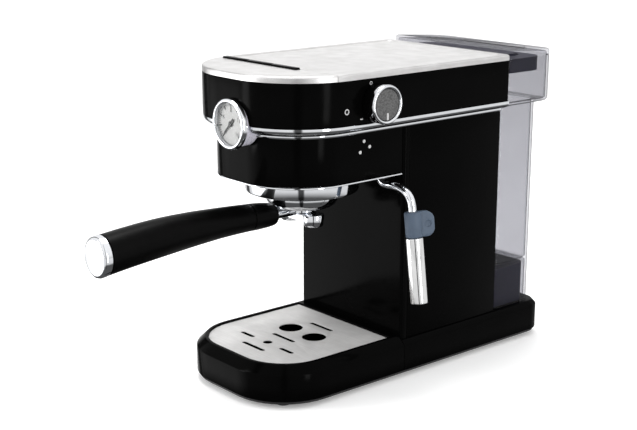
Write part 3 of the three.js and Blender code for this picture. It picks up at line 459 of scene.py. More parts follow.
def placed(name, data):
    """An object in the scene for a mesh, a curve, a light or a camera."""
    thing = bpy.data.objects.new(name, data)
    bpy.context.scene.collection.objects.link(thing)
    return thing


def evaluated(thing):
    """A plain mesh of an object as its modifiers or its curve leave it."""
    return bpy.data.meshes.new_from_object(thing.evaluated_get(bpy.context.evaluated_depsgraph_get()))


def finished(mesh, finish, sharp, edge=0.0, turn_out=False):
    """A mesh with its finish, its corners joined, the edges above sharp degrees rounded, and smooth faces."""
    mesh.materials.clear()
    mesh.materials.append(finish)
    shape = bmesh.new()
    shape.from_mesh(mesh)
    bmesh.ops.remove_doubles(shape, verts=shape.verts, dist=2 * WELD)
    if turn_out:
        bmesh.ops.recalc_face_normals(shape, faces=shape.faces)
    limit = math.radians(sharp)
    if edge:
        edges = [e for e in shape.edges if len(e.link_faces) == 2 and e.calc_face_angle(0) > limit]
        bmesh.ops.bevel(shape, geom=edges, offset=edge * MM, segments=3, profile=0.5, affect="EDGES",
                        clamp_overlap=True)
    for face in shape.faces:
        face.smooth = True
        face.material_index = 0
    for e in shape.edges:
        e.smooth = len(e.link_faces) == 2 and e.calc_face_angle(0) < limit
    shape.to_mesh(mesh)
    shape.free()


def mesh_object(name, shells):
    """A mesh object in metres from shells in millimetres."""
    shape = bmesh.new()
    for points, faces in shells:
        corners = [shape.verts.new((Vector(p) + GROUP) * MM) for p in points]
        for face in faces:
            if len(set(face)) > 2:
                shape.faces.new([corners[i] for i in face])
    bmesh.ops.remove_doubles(shape, verts=shape.verts, dist=WELD)
    bmesh.ops.dissolve_degenerate(shape, edges=shape.edges, dist=WELD / 10)
    bmesh.ops.recalc_face_normals(shape, faces=shape.faces)
    mesh = bpy.data.meshes.new(name)
    shape.to_mesh(mesh)
    shape.free()
    return placed(name, mesh)


def build(name, shells, finish, edge=0.0, sharp=32, cut=(), fuse=False):
    """A finished object from shells, with cutters taken out and the edges above sharp degrees rounded."""
    thing = mesh_object(name, shells[:1] if fuse else shells)
    tools = [mesh_object(name + "_tool", [shell]) for shell in (shells[1:] if fuse else [])]
    cutters = [mesh_object(name + "_cutter", [shell]) for shell in cut]
    for tool in tools + cutters:
        join = thing.modifiers.new("join", "BOOLEAN")
        join.operation = "UNION" if tool in tools else "DIFFERENCE"
        join.object = tool
        join.solver = "EXACT"
        mesh = evaluated(thing)
        thing.modifiers.clear()
        thing.data = mesh
        bpy.data.objects.remove(tool)
    thing.data.name = name
    finished(thing.data, finish, sharp, edge)
    return thing


def finish_piece(thing, node):
    """The piece moves with its body and stands for its CAD node, which is hidden."""
    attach(thing, BODY_OF[node])
    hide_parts(node)


def piece(name, shells, finish, node, **shaping):
    """A built piece that stands for its CAD node."""
    finish_piece(build(name, shells, finish, **shaping), node)


# ---------------- base and drip tray

# The base's outside wall from its foot up to the start of the chamfer, as insets and heights.
BASE_WALL = (
    (1.0, CASE_BOTTOM), (0.25, CASE_BOTTOM + 0.3), (0.0, CASE_BOTTOM + 1.0),
    (0.0, BASE_WALL_TOP - 0.9), (0.12, BASE_WALL_TOP - 0.3), (0.5, BASE_WALL_TOP + 0.3),
)
tray_rear = COLUMN_FRONT - GAP
plate_inset = 10.6
plate_rear_inset = 8.6
plate_corner = 39.5
plate_bottom = 33.8
plate_sheet = 0.7
tray_wall = 14
seat_inset = plate_inset - GAP
seat_rear_inset = plate_rear_inset - GAP
well_corner = BASE_FRONT_CORNER - tray_wall


def tray_ring(inset, rear_inset, corner, rear_corner, z):
    return level(outline(BASE_HALF - inset, BASE_FRONT + inset, tray_rear - rear_inset, corner, rear_corner), z)


tray_skin = [
    tray_ring(inset, 0, BASE_FRONT_CORNER - inset, 0.4, z)
    for inset, z in (*BASE_WALL, (CHAMFER - 0.9, RIM_TOP - 0.7), (CHAMFER - 0.2, RIM_TOP - 0.12),
                     (CHAMFER + 0.7, RIM_TOP))
]
tray_skin += [
    tray_ring(seat_inset - 0.5, seat_rear_inset - 0.5, plate_corner + 0.8, 1.8, RIM_TOP),
    tray_ring(seat_inset, seat_rear_inset, plate_corner + GAP, 1.5, RIM_TOP - 0.5),
    tray_ring(seat_inset, seat_rear_inset, plate_corner + GAP, 1.5, plate_bottom - GAP),
    tray_ring(tray_wall, tray_wall, well_corner, 3, plate_bottom - GAP),
    tray_ring(tray_wall, tray_wall, well_corner, 3, CASE_BOTTOM + 4),
    tray_ring(tray_wall + 1.8, tray_wall + 1.8, well_corner - 1.8, 2, CASE_BOTTOM + 2.2),
]
piece("drip_tray_moulding", [loft(tray_skin)], GLOSS, "drip_tray")

body_skin = loft([
    level(outline(BASE_HALF - inset, COLUMN_FRONT, BASE_REAR - inset, 0.4, BASE_REAR_CORNER - inset), z)
    for inset, z in (*BASE_WALL, (3.4, DECK_TOP - 0.6), (4.1, DECK_TOP - 0.12), (5.0, DECK_TOP))
])
body_hollow = loft([
    level(outline(BASE_HALF - WALL, COLUMN_FRONT + WALL, BASE_REAR - WALL, 3, BASE_REAR_CORNER - WALL), z)
    for z in (CASE_BOTTOM - 1, BASE_WALL_TOP - 0.5)
])
gland_at = (GLAND_X, BASE_REAR, GLAND_Z)
piece("base_moulding", [body_skin], GLOSS, "base_shell", cut=(body_hollow, rod(6.3, -6, 3, "y", gland_at, 40)))

gland = lathe([
    (0, -5), (6, -5), (6, 0.3), (8, 0.3), (8, 1.2), (7.2, 3), (4.2, 3), (3.6, 2.4), (3.6, -1), (0, -1),
], "y", gland_at, 48)
piece("cord_inlet_gland", [gland], RUBBER, "cord_gland", edge=0.3)

for side in ("front_left", "front_right", "rear_left", "rear_right"):
    low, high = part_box("foot_" + side)
    middle = ((low + high) / 2) / MM - GROUP
    foot = lathe([
        (0, 0), (5.6, 0), (6.6, 0.5), (7, 1.4), (7, 3.0), (6.4, 3.7), (0, 3.7),
    ], "z", (middle.x, middle.y, 0), 40)
    piece("rubber_foot_" + side, [foot], RUBBER, "foot_" + side)


def flat_plate(name, border, holes, bottom, thickness, edge, finish):
    """A sheet with shaped holes, cut from a filled outline."""
    curve = bpy.data.curves.new(name, "CURVE")
    curve.dimensions = "2D"
    curve.fill_mode = "BOTH"
    curve.extrude = (thickness / 2 - edge) * MM
    curve.bevel_depth = edge * MM
    curve.bevel_resolution = 2
    for ring in (border, *holes):
        spline = curve.splines.new("POLY")
        spline.points.add(len(ring) - 1)
        for point, (x, y) in zip(spline.points, ring):
            point.co = ((x + GROUP.x) * MM, (y + GROUP.y) * MM, 0, 1)
        spline.use_cyclic_u = True
    sheet = placed(name + "_outline", curve)
    mesh = evaluated(sheet)
    bpy.data.objects.remove(sheet)
    mesh.transform(Matrix.Translation((0, 0, (bottom + thickness / 2) * MM)))
    mesh.name = name
    finished(mesh, finish, 30, turn_out=True)
    return placed(name, mesh)


def stadium(x, y, length, width=4.5, steps=10):
    """A slot with round ends."""
    half = (length - width) / 2
    points = []
    for sign, start in ((1, -90), (-1, 90)):
        for i in range(steps + 1):
            a = math.radians(start + 180 * i / steps)
            points.append((x + sign * half + width / 2 * math.cos(a), y + width / 2 * math.sin(a)))
    return points


def disc(x, y, radius):
    return [(u, v) for u, v, _ in circle(radius, 0, "z", (x, y, 0), 48)]


plate_border = outline(BASE_HALF - plate_inset, BASE_FRONT + plate_inset, tray_rear - plate_rear_inset,
                       plate_corner, 1.4)
plate_holes = [disc(-15.5, 0, 10.5), disc(15.5, 0, 10.5), disc(0, FLOAT_Y, 4.2)]
plate_holes += [stadium(0, y, 29) for y in (21.5, -20.5, -52.5)]
plate_holes += [stadium(x, FLOAT_Y - 1, 17.5) for x in (-26, 26)]
plate = flat_plate("drip_plate_sheet", plate_border, plate_holes, plate_bottom, plate_sheet, 0.12, STEEL_PLATE)
finish_piece(plate, "drip_plate")

float_body = lathe([
    (0, 8.8), (8.4, 8.8), (9, 9.4), (9, 13.2), (8.3, 13.9), (4.2, 14.6), (3, 15.6),
    (3, 30.2), (2.5, 31.2), (1.6, 31.5), (0, 31.5),
], "z", (0, FLOAT_Y, 0), 40)
piece("tray_float_body", [float_body], RED, "tray_float")


# ---------------- column

column_bottom = DECK_TOP + GAP
column_top = BAND_BOTTOM - GAP


def side_panel(name, x0, x1, node):
    wall = block(x0, x1, COLUMN_SEAM + GAP, HEAD_REAR, column_bottom, column_top)
    piece(name, [wall], GLOSS, node, edge=0.5)


front_panel = loft([
    level(outline(COLUMN_HALF, COLUMN_FRONT, COLUMN_SEAM, 3.4, 0.3, 8), z) for z in (column_bottom, column_top)
])
panel_hollow = loft([
    level(outline(COLUMN_HALF - WALL, COLUMN_FRONT + WALL, COLUMN_SEAM + 1, 1, 0.2, 8), z)
    for z in (DECK_TOP - 1, column_top + 1)
])
panel_window = block(6 - LOWER_HALF, LOWER_HALF - 6, COLUMN_FRONT - 1, COLUMN_SEAM + 1,
                     LOWER_BOTTOM + WALL, column_top - 2)
piece("column_front", [front_panel], GLOSS, "column_front_panel", cut=(panel_hollow, panel_window))
side_panel("column_side_left", -COLUMN_HALF, WALL - COLUMN_HALF, "left_side_panel")
side_panel("column_side_right", COLUMN_HALF - WALL, COLUMN_HALF, "right_side_panel")


# ---------------- head

def head_ring(inset, z, rear=HEAD_REAR, rear_corner=3.0):
    return level(outline(HEAD_HALF - inset, HEAD_FRONT + inset, rear, HEAD_CORNER - inset, rear_corner, 32), z)


def lower_ring(inset, z, rear_inset=0.0):
    return level(outline(LOWER_HALF - inset, LOWER_FRONT + inset, COLUMN_FRONT - GAP - rear_inset,
                         LOWER_CORNER - inset, 0.3, 32), z)


lower_shell = loft([
    lower_ring(0.9, LOWER_BOTTOM), lower_ring(0.25, LOWER_BOTTOM + 0.25), lower_ring(0, LOWER_BOTTOM + 0.9),
    lower_ring(0, column_top), lower_ring(WALL, column_top, 0.4), lower_ring(WALL, LOWER_BOTTOM + WALL, 0.4),
])
gauge_at = (GAUGE_X, GAUGE_FRONT, GAUGE_Z)
group_hole = rod(30.4, LOWER_BOTTOM - 1, LOWER_BOTTOM + 4)
wand_hole = rod(4.3, LOWER_BOTTOM - 1, LOWER_BOTTOM + 4, "z", (WAND_X, WAND_Y, 0), 32)
gauge_hole = rod(18.7, -5, 45, "y", gauge_at)
piece("lower_head_moulding", [lower_shell], GLOSS, "lower_head_shell", cut=(group_hole, wand_hole, gauge_hole))

trim_bottom = LOWER_BOTTOM - 1.6
trim = [
    lower_ring(-proud, trim_bottom + rise)
    for proud, rise in ((-0.5, 0), (0.2, 0.1), (0.4, 0.4), (0.4, 0.9), (0.2, 1.2), (-0.5, 1.3))
]
trim += [lower_ring(2, trim_bottom + rise, 0.5) for rise in (1.3, 0)]
piece("lower_head_chrome_line", [loft(trim, True)], CHROME, "lower_head_trim")

# The band's face rolls in under the head: a bright upright lip, a dark cove and a bright rounded bead below.
cove_steps = 12
cove_start = math.radians(15)
cove_sweep = math.radians(65)
cove_top = BAND_TOP - 2.4
cove_bottom = BAND_BOTTOM + 2.6
band_profile = [
    (BAND_INSET, BAND_BOTTOM), (BAND_INSET - 0.8, BAND_BOTTOM + 0.3), (BAND_INSET - 1.2, BAND_BOTTOM + 1.0),
    (BAND_INSET - 1.2, cove_bottom - 0.3),
]
for i in range(cove_steps + 1):
    a = cove_start + cove_sweep * i / cove_steps
    band_profile.append((
        0.3 + (BAND_INSET - 1.8) * (1 - math.sin(a)) / (1 - math.sin(cove_start)),
        cove_bottom + (cove_top - cove_bottom) * (1 - math.cos(a) / math.cos(cove_start)),
    ))
band_profile += [(0.0, cove_top), (0.0, BAND_TOP - 0.5), (0.15, BAND_TOP - 0.15), (0.5, BAND_TOP)]
band_rings = [head_ring(inset, z, rear_corner=0.4) for inset, z in band_profile]
band_rings += [
    level(outline(LOWER_HALF - 2, LOWER_FRONT + 2, HEAD_REAR - 4, LOWER_CORNER - 2, 2, 32), z)
    for z in (BAND_TOP, BAND_BOTTOM)
]
piece("chrome_lip_band", [loft(band_rings, True)], CHROME, "chrome_band", cut=(gauge_hole,))

upper_bottom = BAND_TOP + GAP
upper_rings = [head_ring(inset, z) for inset, z in (
    (0.5, upper_bottom), (0.1, upper_bottom + 0.2), (0, upper_bottom + 0.6),
    (0, UPPER_TOP - 0.6), (0.1, UPPER_TOP - 0.2), (0.5, UPPER_TOP),
)]
upper_rings += [
    level(outline(HEAD_HALF - WALL, HEAD_FRONT + WALL, HEAD_REAR - WALL, HEAD_CORNER - WALL, 1, 32), z)
    for z in (UPPER_TOP, upper_bottom)
]
knob_hole = rod(3.8, 65, 80, "x", (0, KNOB_Y, KNOB_Z), 32)
piece("upper_head_moulding", [loft(upper_rings, True)], GLOSS, "upper_head_shell", cut=(gauge_hole, knob_hole))


# The pressed steel top has a rolled edge and is parted behind the keys.
roll = 1.9
rolls = [(0, TOP_BOTTOM), (0, TOP_TOP - roll)]
rolls += [(roll * (1 - math.cos(math.radians(a))), TOP_TOP - roll + roll * math.sin(math.radians(a)))
          for a in (15, 30, 45, 60, 75, 90)]
top_skin = loft([head_ring(inset, z, HEAD_REAR - inset) for inset, z in rolls])
past = 200
behind_keys = block(-past, past, KEY_REAR, past, TOP_BOTTOM - past, TOP_TOP + past)
key_slot = block(KEY_LEFT - GAP, KEY_LEFT + 3 * KEY_PITCH + GAP, KEY_REAR - KEY_DEPTH, KEY_REAR + 1,
                 TOP_BOTTOM - 1, TOP_TOP + 1)
piece("steel_front_deck", [top_skin], STEEL_LONG, "front_deck", cut=(behind_keys, key_slot))
cup_front = KEY_REAR + GAP
before_tray = block(-past, past, -past, cup_front, TOP_BOTTOM - past, TOP_TOP + past)
under = outline(HEAD_HALF - 2, cup_front + 2, HEAD_REAR - 2, 1.5, 1.5, 32)
tray_hollow = loft([level(under, z) for z in (TOP_BOTTOM - 1, TOP_TOP - 2.2)])
tray_dish = loft([
    level(outline(HEAD_HALF - 6 + spill, cup_front + 6 - spill, HEAD_REAR - 6 + spill, 4 + spill, 4 + spill),
          TOP_TOP + rise)
    for spill, rise in ((-0.8, -0.8), (-0.25, -0.65), (0.2, -0.1), (0.5, 0.6))
])
piece("steel_cup_tray", [top_skin], STEEL_LONG, "cup_tray", cut=(before_tray, tray_hollow, tray_dish))

for i, node in enumerate(("power_key", "one_cup_key", "two_cup_key")):
    left = KEY_LEFT + i * KEY_PITCH + 0.4
    key = block(left, left + KEY_PITCH - 0.8, KEY_REAR - KEY_DEPTH + 0.4, KEY_REAR - 0.4,
                TOP_BOTTOM - 3, TOP_TOP + 1.5)
    piece(node + "_cap", [key], GLOSS, node, edge=0.7)


# ---------------- group and filter holder

collar_height = COLLAR_TOP - COLLAR_BOTTOM
collar = lathe([
    (32.6, 0), (COLLAR_RADIUS - 2.4, 0), (COLLAR_RADIUS - 0.7, 0.7), (COLLAR_RADIUS, 2.4),
    (COLLAR_RADIUS, collar_height - 2.2), (COLLAR_RADIUS - 0.6, collar_height - 1.6),
    (COLLAR_RADIUS - 0.6, collar_height), (32, collar_height), (32, collar_height - 2.2), (36.6, collar_height - 2.2),
    (36.6, 3.2), (32.6, 3.2), (32.6, 0),
], "z", (0, 0, COLLAR_BOTTOM), 128)


def wedge(outer, inner, middle, sweep_angle, z0, z1, steps=12):
    """Part of a ring."""
    angles = [math.radians(middle - sweep_angle / 2 + sweep_angle * i / steps) for i in range(steps + 1)]
    ring = [(outer * math.cos(a), outer * math.sin(a)) for a in angles]
    ring += [(inner * math.cos(a), inner * math.sin(a)) for a in reversed(angles)]
    return loft([level(ring, z0), level(ring, z1)])


piece("group_ring", [collar], CHROME, "group_collar",
      cut=[wedge(36.6, 31.6, middle, 46, COLLAR_BOTTOM - 1, COLLAR_BOTTOM + 3.7) for middle in (-50, 130)])

hub = HUB_BOTTOM - FILTER_BOTTOM
cup_rim = FILTER_TOP - FILTER_BOTTOM
cup = lathe([
    (4, hub), (HUB_RADIUS - 1, hub), (HUB_RADIUS, hub + 1), (HUB_RADIUS, -0.6), (HUB_RADIUS + 0.6, 0),
    *((FILTER_RADIUS - inset, z) for inset, z in (
        (8, 0), (4.6, 0.8), (2.2, 3), (0.6, 6.4), (0, 9.5), (0, cup_rim), (3.5, cup_rim), (3.5, 3.4), (5.5, 2.2),
    )), (4, 2.2), (4, hub),
], "z", (0, 0, FILTER_BOTTOM), 96)
ears = [wedge(FILTER_RADIUS + 3.4, FILTER_RADIUS - 1, middle, 40, 164, 168) for middle in (0, 180)]
neck_at = (0, HANDLE_START, HANDLE_TOP_Z - 1.4)
neck = rod(5, -13, -9 - HANDLE_START, "y", neck_at, 40)
piece("filter_holder", [cup, *ears, neck], CHROME, "portafilter_body", fuse=True)

basket_floor = FILTER_BOTTOM + 3.4
rim = FILTER_TOP + GAP - basket_floor
basket = lathe([
    (0, 0), (24.4, 0), (26.3, 0.7), (26.9, 2.4), (26.9, rim), (30.4, rim), (30.8, rim + 0.3), (30.4, rim + 0.7),
    (26.8, rim + 0.7), (26.2, rim + 0.1), (26.2, 2.6), (25.7, 1.5), (24.3, 0.7), (0, 0.7),
], "z", (0, 0, basket_floor))
piece("coffee_basket", [basket], STEEL_BRIGHT, "filter_basket")

spout_top = HUB_BOTTOM - GAP
spout_x = 15
bridge = block(-spout_x, spout_x, -8, 8, spout_top - 6, spout_top)
outlets = [lathe([
    (0, -10), (7.3, -10), (8.0, -9.3), (8.6, -5), (9, -1), (8.6, 0), (0, 0),
], "z", (x, 0, spout_top), 48) for x in (-spout_x, spout_x)]
bores = [rod(6.5, -12, -6.2, "z", (x, 0, spout_top), 32) for x in (-spout_x, spout_x)]
piece("twin_spout", [bridge, *outlets], CHROME, "double_spout", fuse=True, cut=bores, edge=0.5, sharp=50)


def along_handle(stations, steps=10, sides=64):
    """Rings round the handle's arched line, at stations of y and radius, smoothly joined."""
    path = [Vector((y, radius, 0)) for y, radius in stations]
    if steps > 1:
        path = smooth_path(path, steps)
    rings = []
    for y, radius, _ in path:
        arch = HANDLE_TOP_Z - (y - HANDLE_TOP_Y) ** 2 / (2 * HANDLE_ARCH)
        rings.append(circle(max(radius, 0), y, "y", (0, 0, arch), sides))
    return loft(rings)


ferrule_end = HANDLE_START - 25
grip_start = ferrule_end - GAP
grip_end = HANDLE_END + 7.3
grip = along_handle([
    (grip_end + 0.6, 15.8), (grip_end + 17, 15.6), (grip_end + 50, 15.0), (grip_end + 82, 13.6),
    (grip_end + 106, 12.3), (grip_start - 0.5, 11.1),
])
piece("handle_moulding", [grip], HANDLE, "handle_grip", edge=0.4, sharp=60)

ferrule = along_handle([
    (ferrule_end, 10.8), (ferrule_end + 0.4, 11.1), (HANDLE_START - 18, 10.9), (HANDLE_START - 10, 10.3),
    (HANDLE_START - 3, 9.3), (HANDLE_START - 0.8, 8.2), (HANDLE_START, 7.0),
], 6)
piece("handle_socket", [ferrule], HANDLE, "handle_ferrule", cut=(rod(5.6, -14, 1, "y", neck_at, 40),))

cap = along_handle([(HANDLE_END + reach, radius) for reach, radius in (
    (0, 0), (0, 13.0), (0.3, 14.2), (1.0, 15.3), (2.2, 15.9), (3.0, 16.0), (6.6, 16.0), (7, 15.7), (7, 0),
)], 1)
piece("handle_end_cap", [cap], CHROME, "handle_cap")


# ---------------- steam wand and knob

def down_wand(distance):
    return (ELBOW_X + distance * math.sin(WAND_TILT), WAND_Y, ELBOW_Z - distance * math.cos(WAND_TILT))


run_z = LOWER_BOTTOM - 8.6
wand_path = smooth_path([
    (WAND_X, WAND_Y, LOWER_BOTTOM + 8), (WAND_X, WAND_Y, LOWER_BOTTOM), (WAND_X + 1.2, WAND_Y, LOWER_BOTTOM - 5),
    (WAND_X + 6, WAND_Y, run_z), (WAND_X + 16, WAND_Y, run_z), (ELBOW_X - 12, WAND_Y, run_z - 0.6),
    (ELBOW_X - 4.2, WAND_Y, run_z - 4.2), down_wand(0), down_wand(14), down_wand(40), down_wand(68),
], 8)
piece("wand_pipe", [sweep(wand_path, 3.3, 32)], CHROME, "wand_tube")


def on_wand(shell, distance):
    """A shape turned round Z with its top at zero, tilted and set on the straight of the wand."""
    turn = Matrix.Translation(down_wand(distance)) @ Matrix.Rotation(-WAND_TILT, 4, "Y")
    return [tuple(turn @ Vector(p)) for p in shell[0]], shell[1]


grip_drop = 6
grip_length = 20.5
grip_ring = lathe([
    (3.6, 0), (6.2, 0), (6.9, 0.7), (6.9, grip_length - 0.7), (6.2, grip_length), (3.6, grip_length), (3.6, 0),
], "z", (0, 0, -grip_length), 48)
corner = 7
tab_ring = []
for i in range(25):
    a = math.radians(-90 + 180 * i / 24)
    tab_ring.append((10 + corner * math.cos(a), (-grip_length + corner if a < 0 else -corner) + corner * math.sin(a)))
tab_ring += [(5, 0), (5, -grip_length)]
tab_turn = Matrix.Rotation(math.radians(62), 4, "Z")
tab = loft([[tuple(tab_turn @ Vector((x, 2.5 * s, z))) for x, z in tab_ring] for s in (1, -1)])
dimples = []
for face in (-1, 1):
    points, faces = lathe([(0, face * 1.7), (2.4, face * 1.7), (3.0, face * 2.1), (3.0, face * 4), (0, face * 4)],
                          "y", (11.5, 0, -grip_length / 2), 32)
    dimples.append(on_wand(([tuple(tab_turn @ Vector(p)) for p in points], faces), grip_drop))
piece("wand_finger_grip", [on_wand(grip_ring, grip_drop), on_wand(tab, grip_drop)], SILICONE, "wand_grip",
      fuse=True, edge=0.9, sharp=50, cut=dimples)

sleeve_length = 54
sleeve = lathe([
    (4.2, 0), (6.4, 0), (7.0, 0.4), (7.2, 1.2), (7.2, sleeve_length - 1.2), (7.0, sleeve_length - 0.4),
    (6.4, sleeve_length), (4.2, sleeve_length), (4.2, 0),
], "z", (0, 0, -sleeve_length), 64)
piece("wand_steel_sleeve", [on_wand(sleeve, grip_drop + grip_length + GAP)], STEEL_BRIGHT, "wand_sleeve")

skirt_length = 8.5
skirt = lathe([
    (3.3, 0), (KNOB_RADIUS - 0.6, 0), (KNOB_RADIUS, 0.6), (KNOB_RADIUS, skirt_length - 0.5),
    (KNOB_RADIUS - 0.5, skirt_length), (0, skirt_length), (0, skirt_length - 1.7), (3.3, skirt_length - 1.7),
    (3.3, 0),
], "x", (HEAD_HALF + GAP, KNOB_Y, KNOB_Z), 96)
piece("knob_black_skirt", [skirt], GLOSS, "knob_skirt")
face_at = (HEAD_HALF + GAP + skirt_length + GAP, KNOB_Y, KNOB_Z)
ring_profile = [(12.7, 0), (KNOB_RADIUS, 0), (KNOB_RADIUS, 2.6)]
for i in range(1, 12):
    a = math.pi * i / 12
    ring_profile.append((14.1 + 1.4 * math.cos(a), 2.6 + 1.9 * math.sin(a)))
ring_profile += [(12.7, 2.6), (12.7, 0)]
piece("knob_chrome_ring", [lathe(ring_profile, "x", face_at, 96)], CHROME, "knob_ring")
knob_face = lathe([(0, 0), (12.4, 0), (12.4, 2.9), (11.8, 3.5), (9, 3.62), (0, 3.7)], "x", face_at, 96)
piece("knob_grey_face", [knob_face], CAP_GREY, "knob_cap")
pointer = block(face_at[0] + 3.2, face_at[0] + 3.95, KNOB_Y - 0.9, KNOB_Y + 0.9, KNOB_Z - 12, KNOB_Z - 6.5)
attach(build("knob_white_mark", [pointer], WHITE_INK, edge=0.2), "knob")


# ---------------- gauge

def node_group(name, inputs):
    """A geometry tree with named inputs for its sizes."""
    tree = bpy.data.node_groups.new(name, "GeometryNodeTree")
    tree.interface.new_socket("Geometry", in_out="OUTPUT", socket_type="NodeSocketGeometry")
    for label, kind in inputs:
        tree.interface.new_socket(label, in_out="INPUT", socket_type=kind)
    return tree, tree.nodes.new("NodeGroupInput").outputs, tree.nodes.new("NodeGroupOutput")


def dial_mark_tree():
    """Marks round a dial: points on an arc, each with a small block that points to the middle."""
    tree, size, result = node_group("dial_marks", (
        ("Count", "NodeSocketInt"), ("Start", "NodeSocketFloat"), ("Sweep", "NodeSocketFloat"),
        ("Radius", "NodeSocketFloat"), ("Length", "NodeSocketFloat"), ("Width", "NodeSocketFloat"),
        ("Depth", "NodeSocketFloat"), ("Centre", "NodeSocketVector"), ("Finish", "NodeSocketMaterial"),
    ))
    index = add(tree, "GeometryNodeInputIndex")
    share = maths(tree, "DIVIDE", index.outputs[0], maths(tree, "SUBTRACT", size["Count"], 1.0))
    angle = maths(tree, "MULTIPLY_ADD", share, size["Sweep"], size["Start"])
    unit = add(tree, "ShaderNodeCombineXYZ", {"X": maths(tree, "SINE", angle), "Z": maths(tree, "COSINE", angle)})
    arm = scaled(tree, unit.outputs[0], size["Radius"])
    place = add(tree, "ShaderNodeVectorMath", {0: arm, 1: size["Centre"]}, operation="ADD")
    points = add(tree, "GeometryNodePoints", {"Count": size["Count"], "Position": place.outputs[0]})
    sizes = add(tree, "ShaderNodeCombineXYZ", {
        "X": size["Width"], "Y": size["Depth"], "Z": size["Length"],
    })
    mark = add(tree, "GeometryNodeMeshCube", {"Size": sizes.outputs[0]})
    turn = add(tree, "ShaderNodeCombineXYZ", {"Y": angle})
    set_out = add(tree, "GeometryNodeInstanceOnPoints", {
        "Points": points.outputs[0], "Instance": mark.outputs["Mesh"], "Rotation": turn.outputs[0],
    })
    real = add(tree, "GeometryNodeRealizeInstances", {"Geometry": set_out.outputs[0]})
    inked = add(tree, "GeometryNodeSetMaterial", {"Geometry": real.outputs[0], "Material": size["Finish"]})
    tree.links.new(inked.outputs[0], result.inputs["Geometry"])
    return tree


def grown(name, tree, values):
    """A plain mesh from a geometry tree with its inputs set."""
    seed = placed(name + "_seed", bpy.data.meshes.new(name + "_seed"))
    modifier = seed.modifiers.new("grow", "NODES")
    modifier.node_group = tree
    sockets = {s.name: s.identifier for s in tree.interface.items_tree if s.in_out == "INPUT"}
    for label, value in values.items():
        modifier[sockets[label]] = value
    mesh = evaluated(seed)
    bpy.data.objects.remove(seed)
    mesh.name = name
    return placed(name, mesh)


bezel_depth = 5
bezel = lathe([
    (17.0, 1.0), (17.2, 0.4), (17.9, 0), (18.6, 0), (19.5, 0.3), (20.0, 0.9), (GAUGE_RADIUS, 1.9),
    (GAUGE_RADIUS, bezel_depth - 0.7), (GAUGE_RADIUS - 0.7, bezel_depth), (17.0, bezel_depth), (17.0, 1.0),
], "y", gauge_at, 128)
piece("gauge_bright_bezel", [bezel], CHROME, "gauge_bezel")
housing = lathe([
    (0, 0), (18.4, 0), (18.4, 20.2), (17.6, 21), (4, 21), (4, 29), (0, 29),
], "y", (GAUGE_X, GAUGE_FRONT + bezel_depth + GAP, GAUGE_Z), 128)
# The barrel's light silver colour is painted reflection, lit by the lamps in place of mirrored surroundings.
piece("gauge_barrel", [housing], PAINTED_SHEEN_SILVER, "gauge_housing")
dial_back = bezel_depth - 0.2
dial_front = dial_back - 0.8
dial = lathe([(1.0, dial_front), (16.7, dial_front), (16.7, dial_back), (1.0, dial_back), (1.0, dial_front)],
             "y", gauge_at, 96)
piece("gauge_dial_plate", [dial], ENAMEL, "gauge_dial")
glass = lathe([(0, 1.0), (16.4, 1.0), (16.7, 1.3), (16.7, 2.0), (0, 2.0)], "y", gauge_at, 96)
piece("gauge_clear_glass", [glass], GAUGE_GLASS, "gauge_glass")

scale_start = math.radians(-135)
scale_sweep = math.radians(270)
needle_y = dial_front - 1.0
needle_turn = Matrix.Translation(gauge_at) @ Matrix.Rotation(scale_start, 4, "Y")
blade_ring = [(-1.2, -5.2), (1.2, -5.2), (0.7, 4), (0.35, 11.5), (-0.35, 11.5), (-0.7, 4)]
blade = loft([[tuple(needle_turn @ Vector((x, needle_y + 0.3 * s, z))) for x, z in blade_ring] for s in (1, -1)])
hub = lathe([(0, needle_y - 0.5), (1.8, needle_y - 0.5), (2.2, needle_y - 0.1), (2.2, needle_y + 0.4),
             (0.8, needle_y + 0.5), (0.8, dial_back), (0, dial_back)], "y", gauge_at, 40)
piece("needle_blade_and_hub", [blade, hub], INK, "gauge_needle", fuse=True)

marks = dial_mark_tree()
ink_y = GAUGE_FRONT + dial_front - 0.05
dial_centre = (Vector((GAUGE_X, ink_y, GAUGE_Z)) + GROUP) * MM
for name, count, radius, length, width in (
    ("dial_major_marks", 9, 14.2, 3.6, 1.2), ("dial_minor_marks", 41, 15.0, 1.8, 0.5),
):
    made = grown(name, marks, {
        "Count": count, "Start": scale_start, "Sweep": scale_sweep, "Radius": radius * MM, "Length": length * MM,
        "Width": width * MM, "Depth": 0.12 * MM, "Centre": tuple(dial_centre), "Finish": INK,
    })
    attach(made, BODY_OF["gauge_dial"])


def figure(name, text, x, z):
    """A plain printed figure as a thin mesh that faces the front."""
    curve = bpy.data.curves.new(name, "FONT")
    curve.body = text
    curve.size = 5.0 * MM
    curve.align_x = "CENTER"
    curve.align_y = "CENTER"
    curve.extrude = 0.04 * MM
    curve.resolution_u = 3
    drawn = placed(name, curve)
    mesh = evaluated(drawn)
    bpy.data.objects.remove(drawn)
    place = (Vector((x, ink_y, z)) + GROUP) * MM
    mesh.transform(Matrix.Translation(place) @ Matrix.Rotation(math.radians(90), 4, "X"))
    mesh.name = name
    mesh.materials.clear()
    mesh.materials.append(INK)
    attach(placed(name, mesh), BODY_OF["gauge_dial"])


figure_radius = 10.6
for i in range(0, 9, 2):
    a = scale_start + scale_sweep * i / 8
    figure("dial_figure_%d" % (2 * i), str(2 * i), GAUGE_X + figure_radius * math.sin(a),
           GAUGE_Z + figure_radius * math.cos(a))


# Plain printed signs on the head's right side: three steam dots below the band, rings and a stroke by the knob.
INK_DEPTH = 0.08
STEAM_DOTS = ((11.5, 208.5), (17.5, 203.5), (7.5, 200.0))


def side_mark(name, shell):
    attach(build(name, [shell], WHITE_INK), "machine")


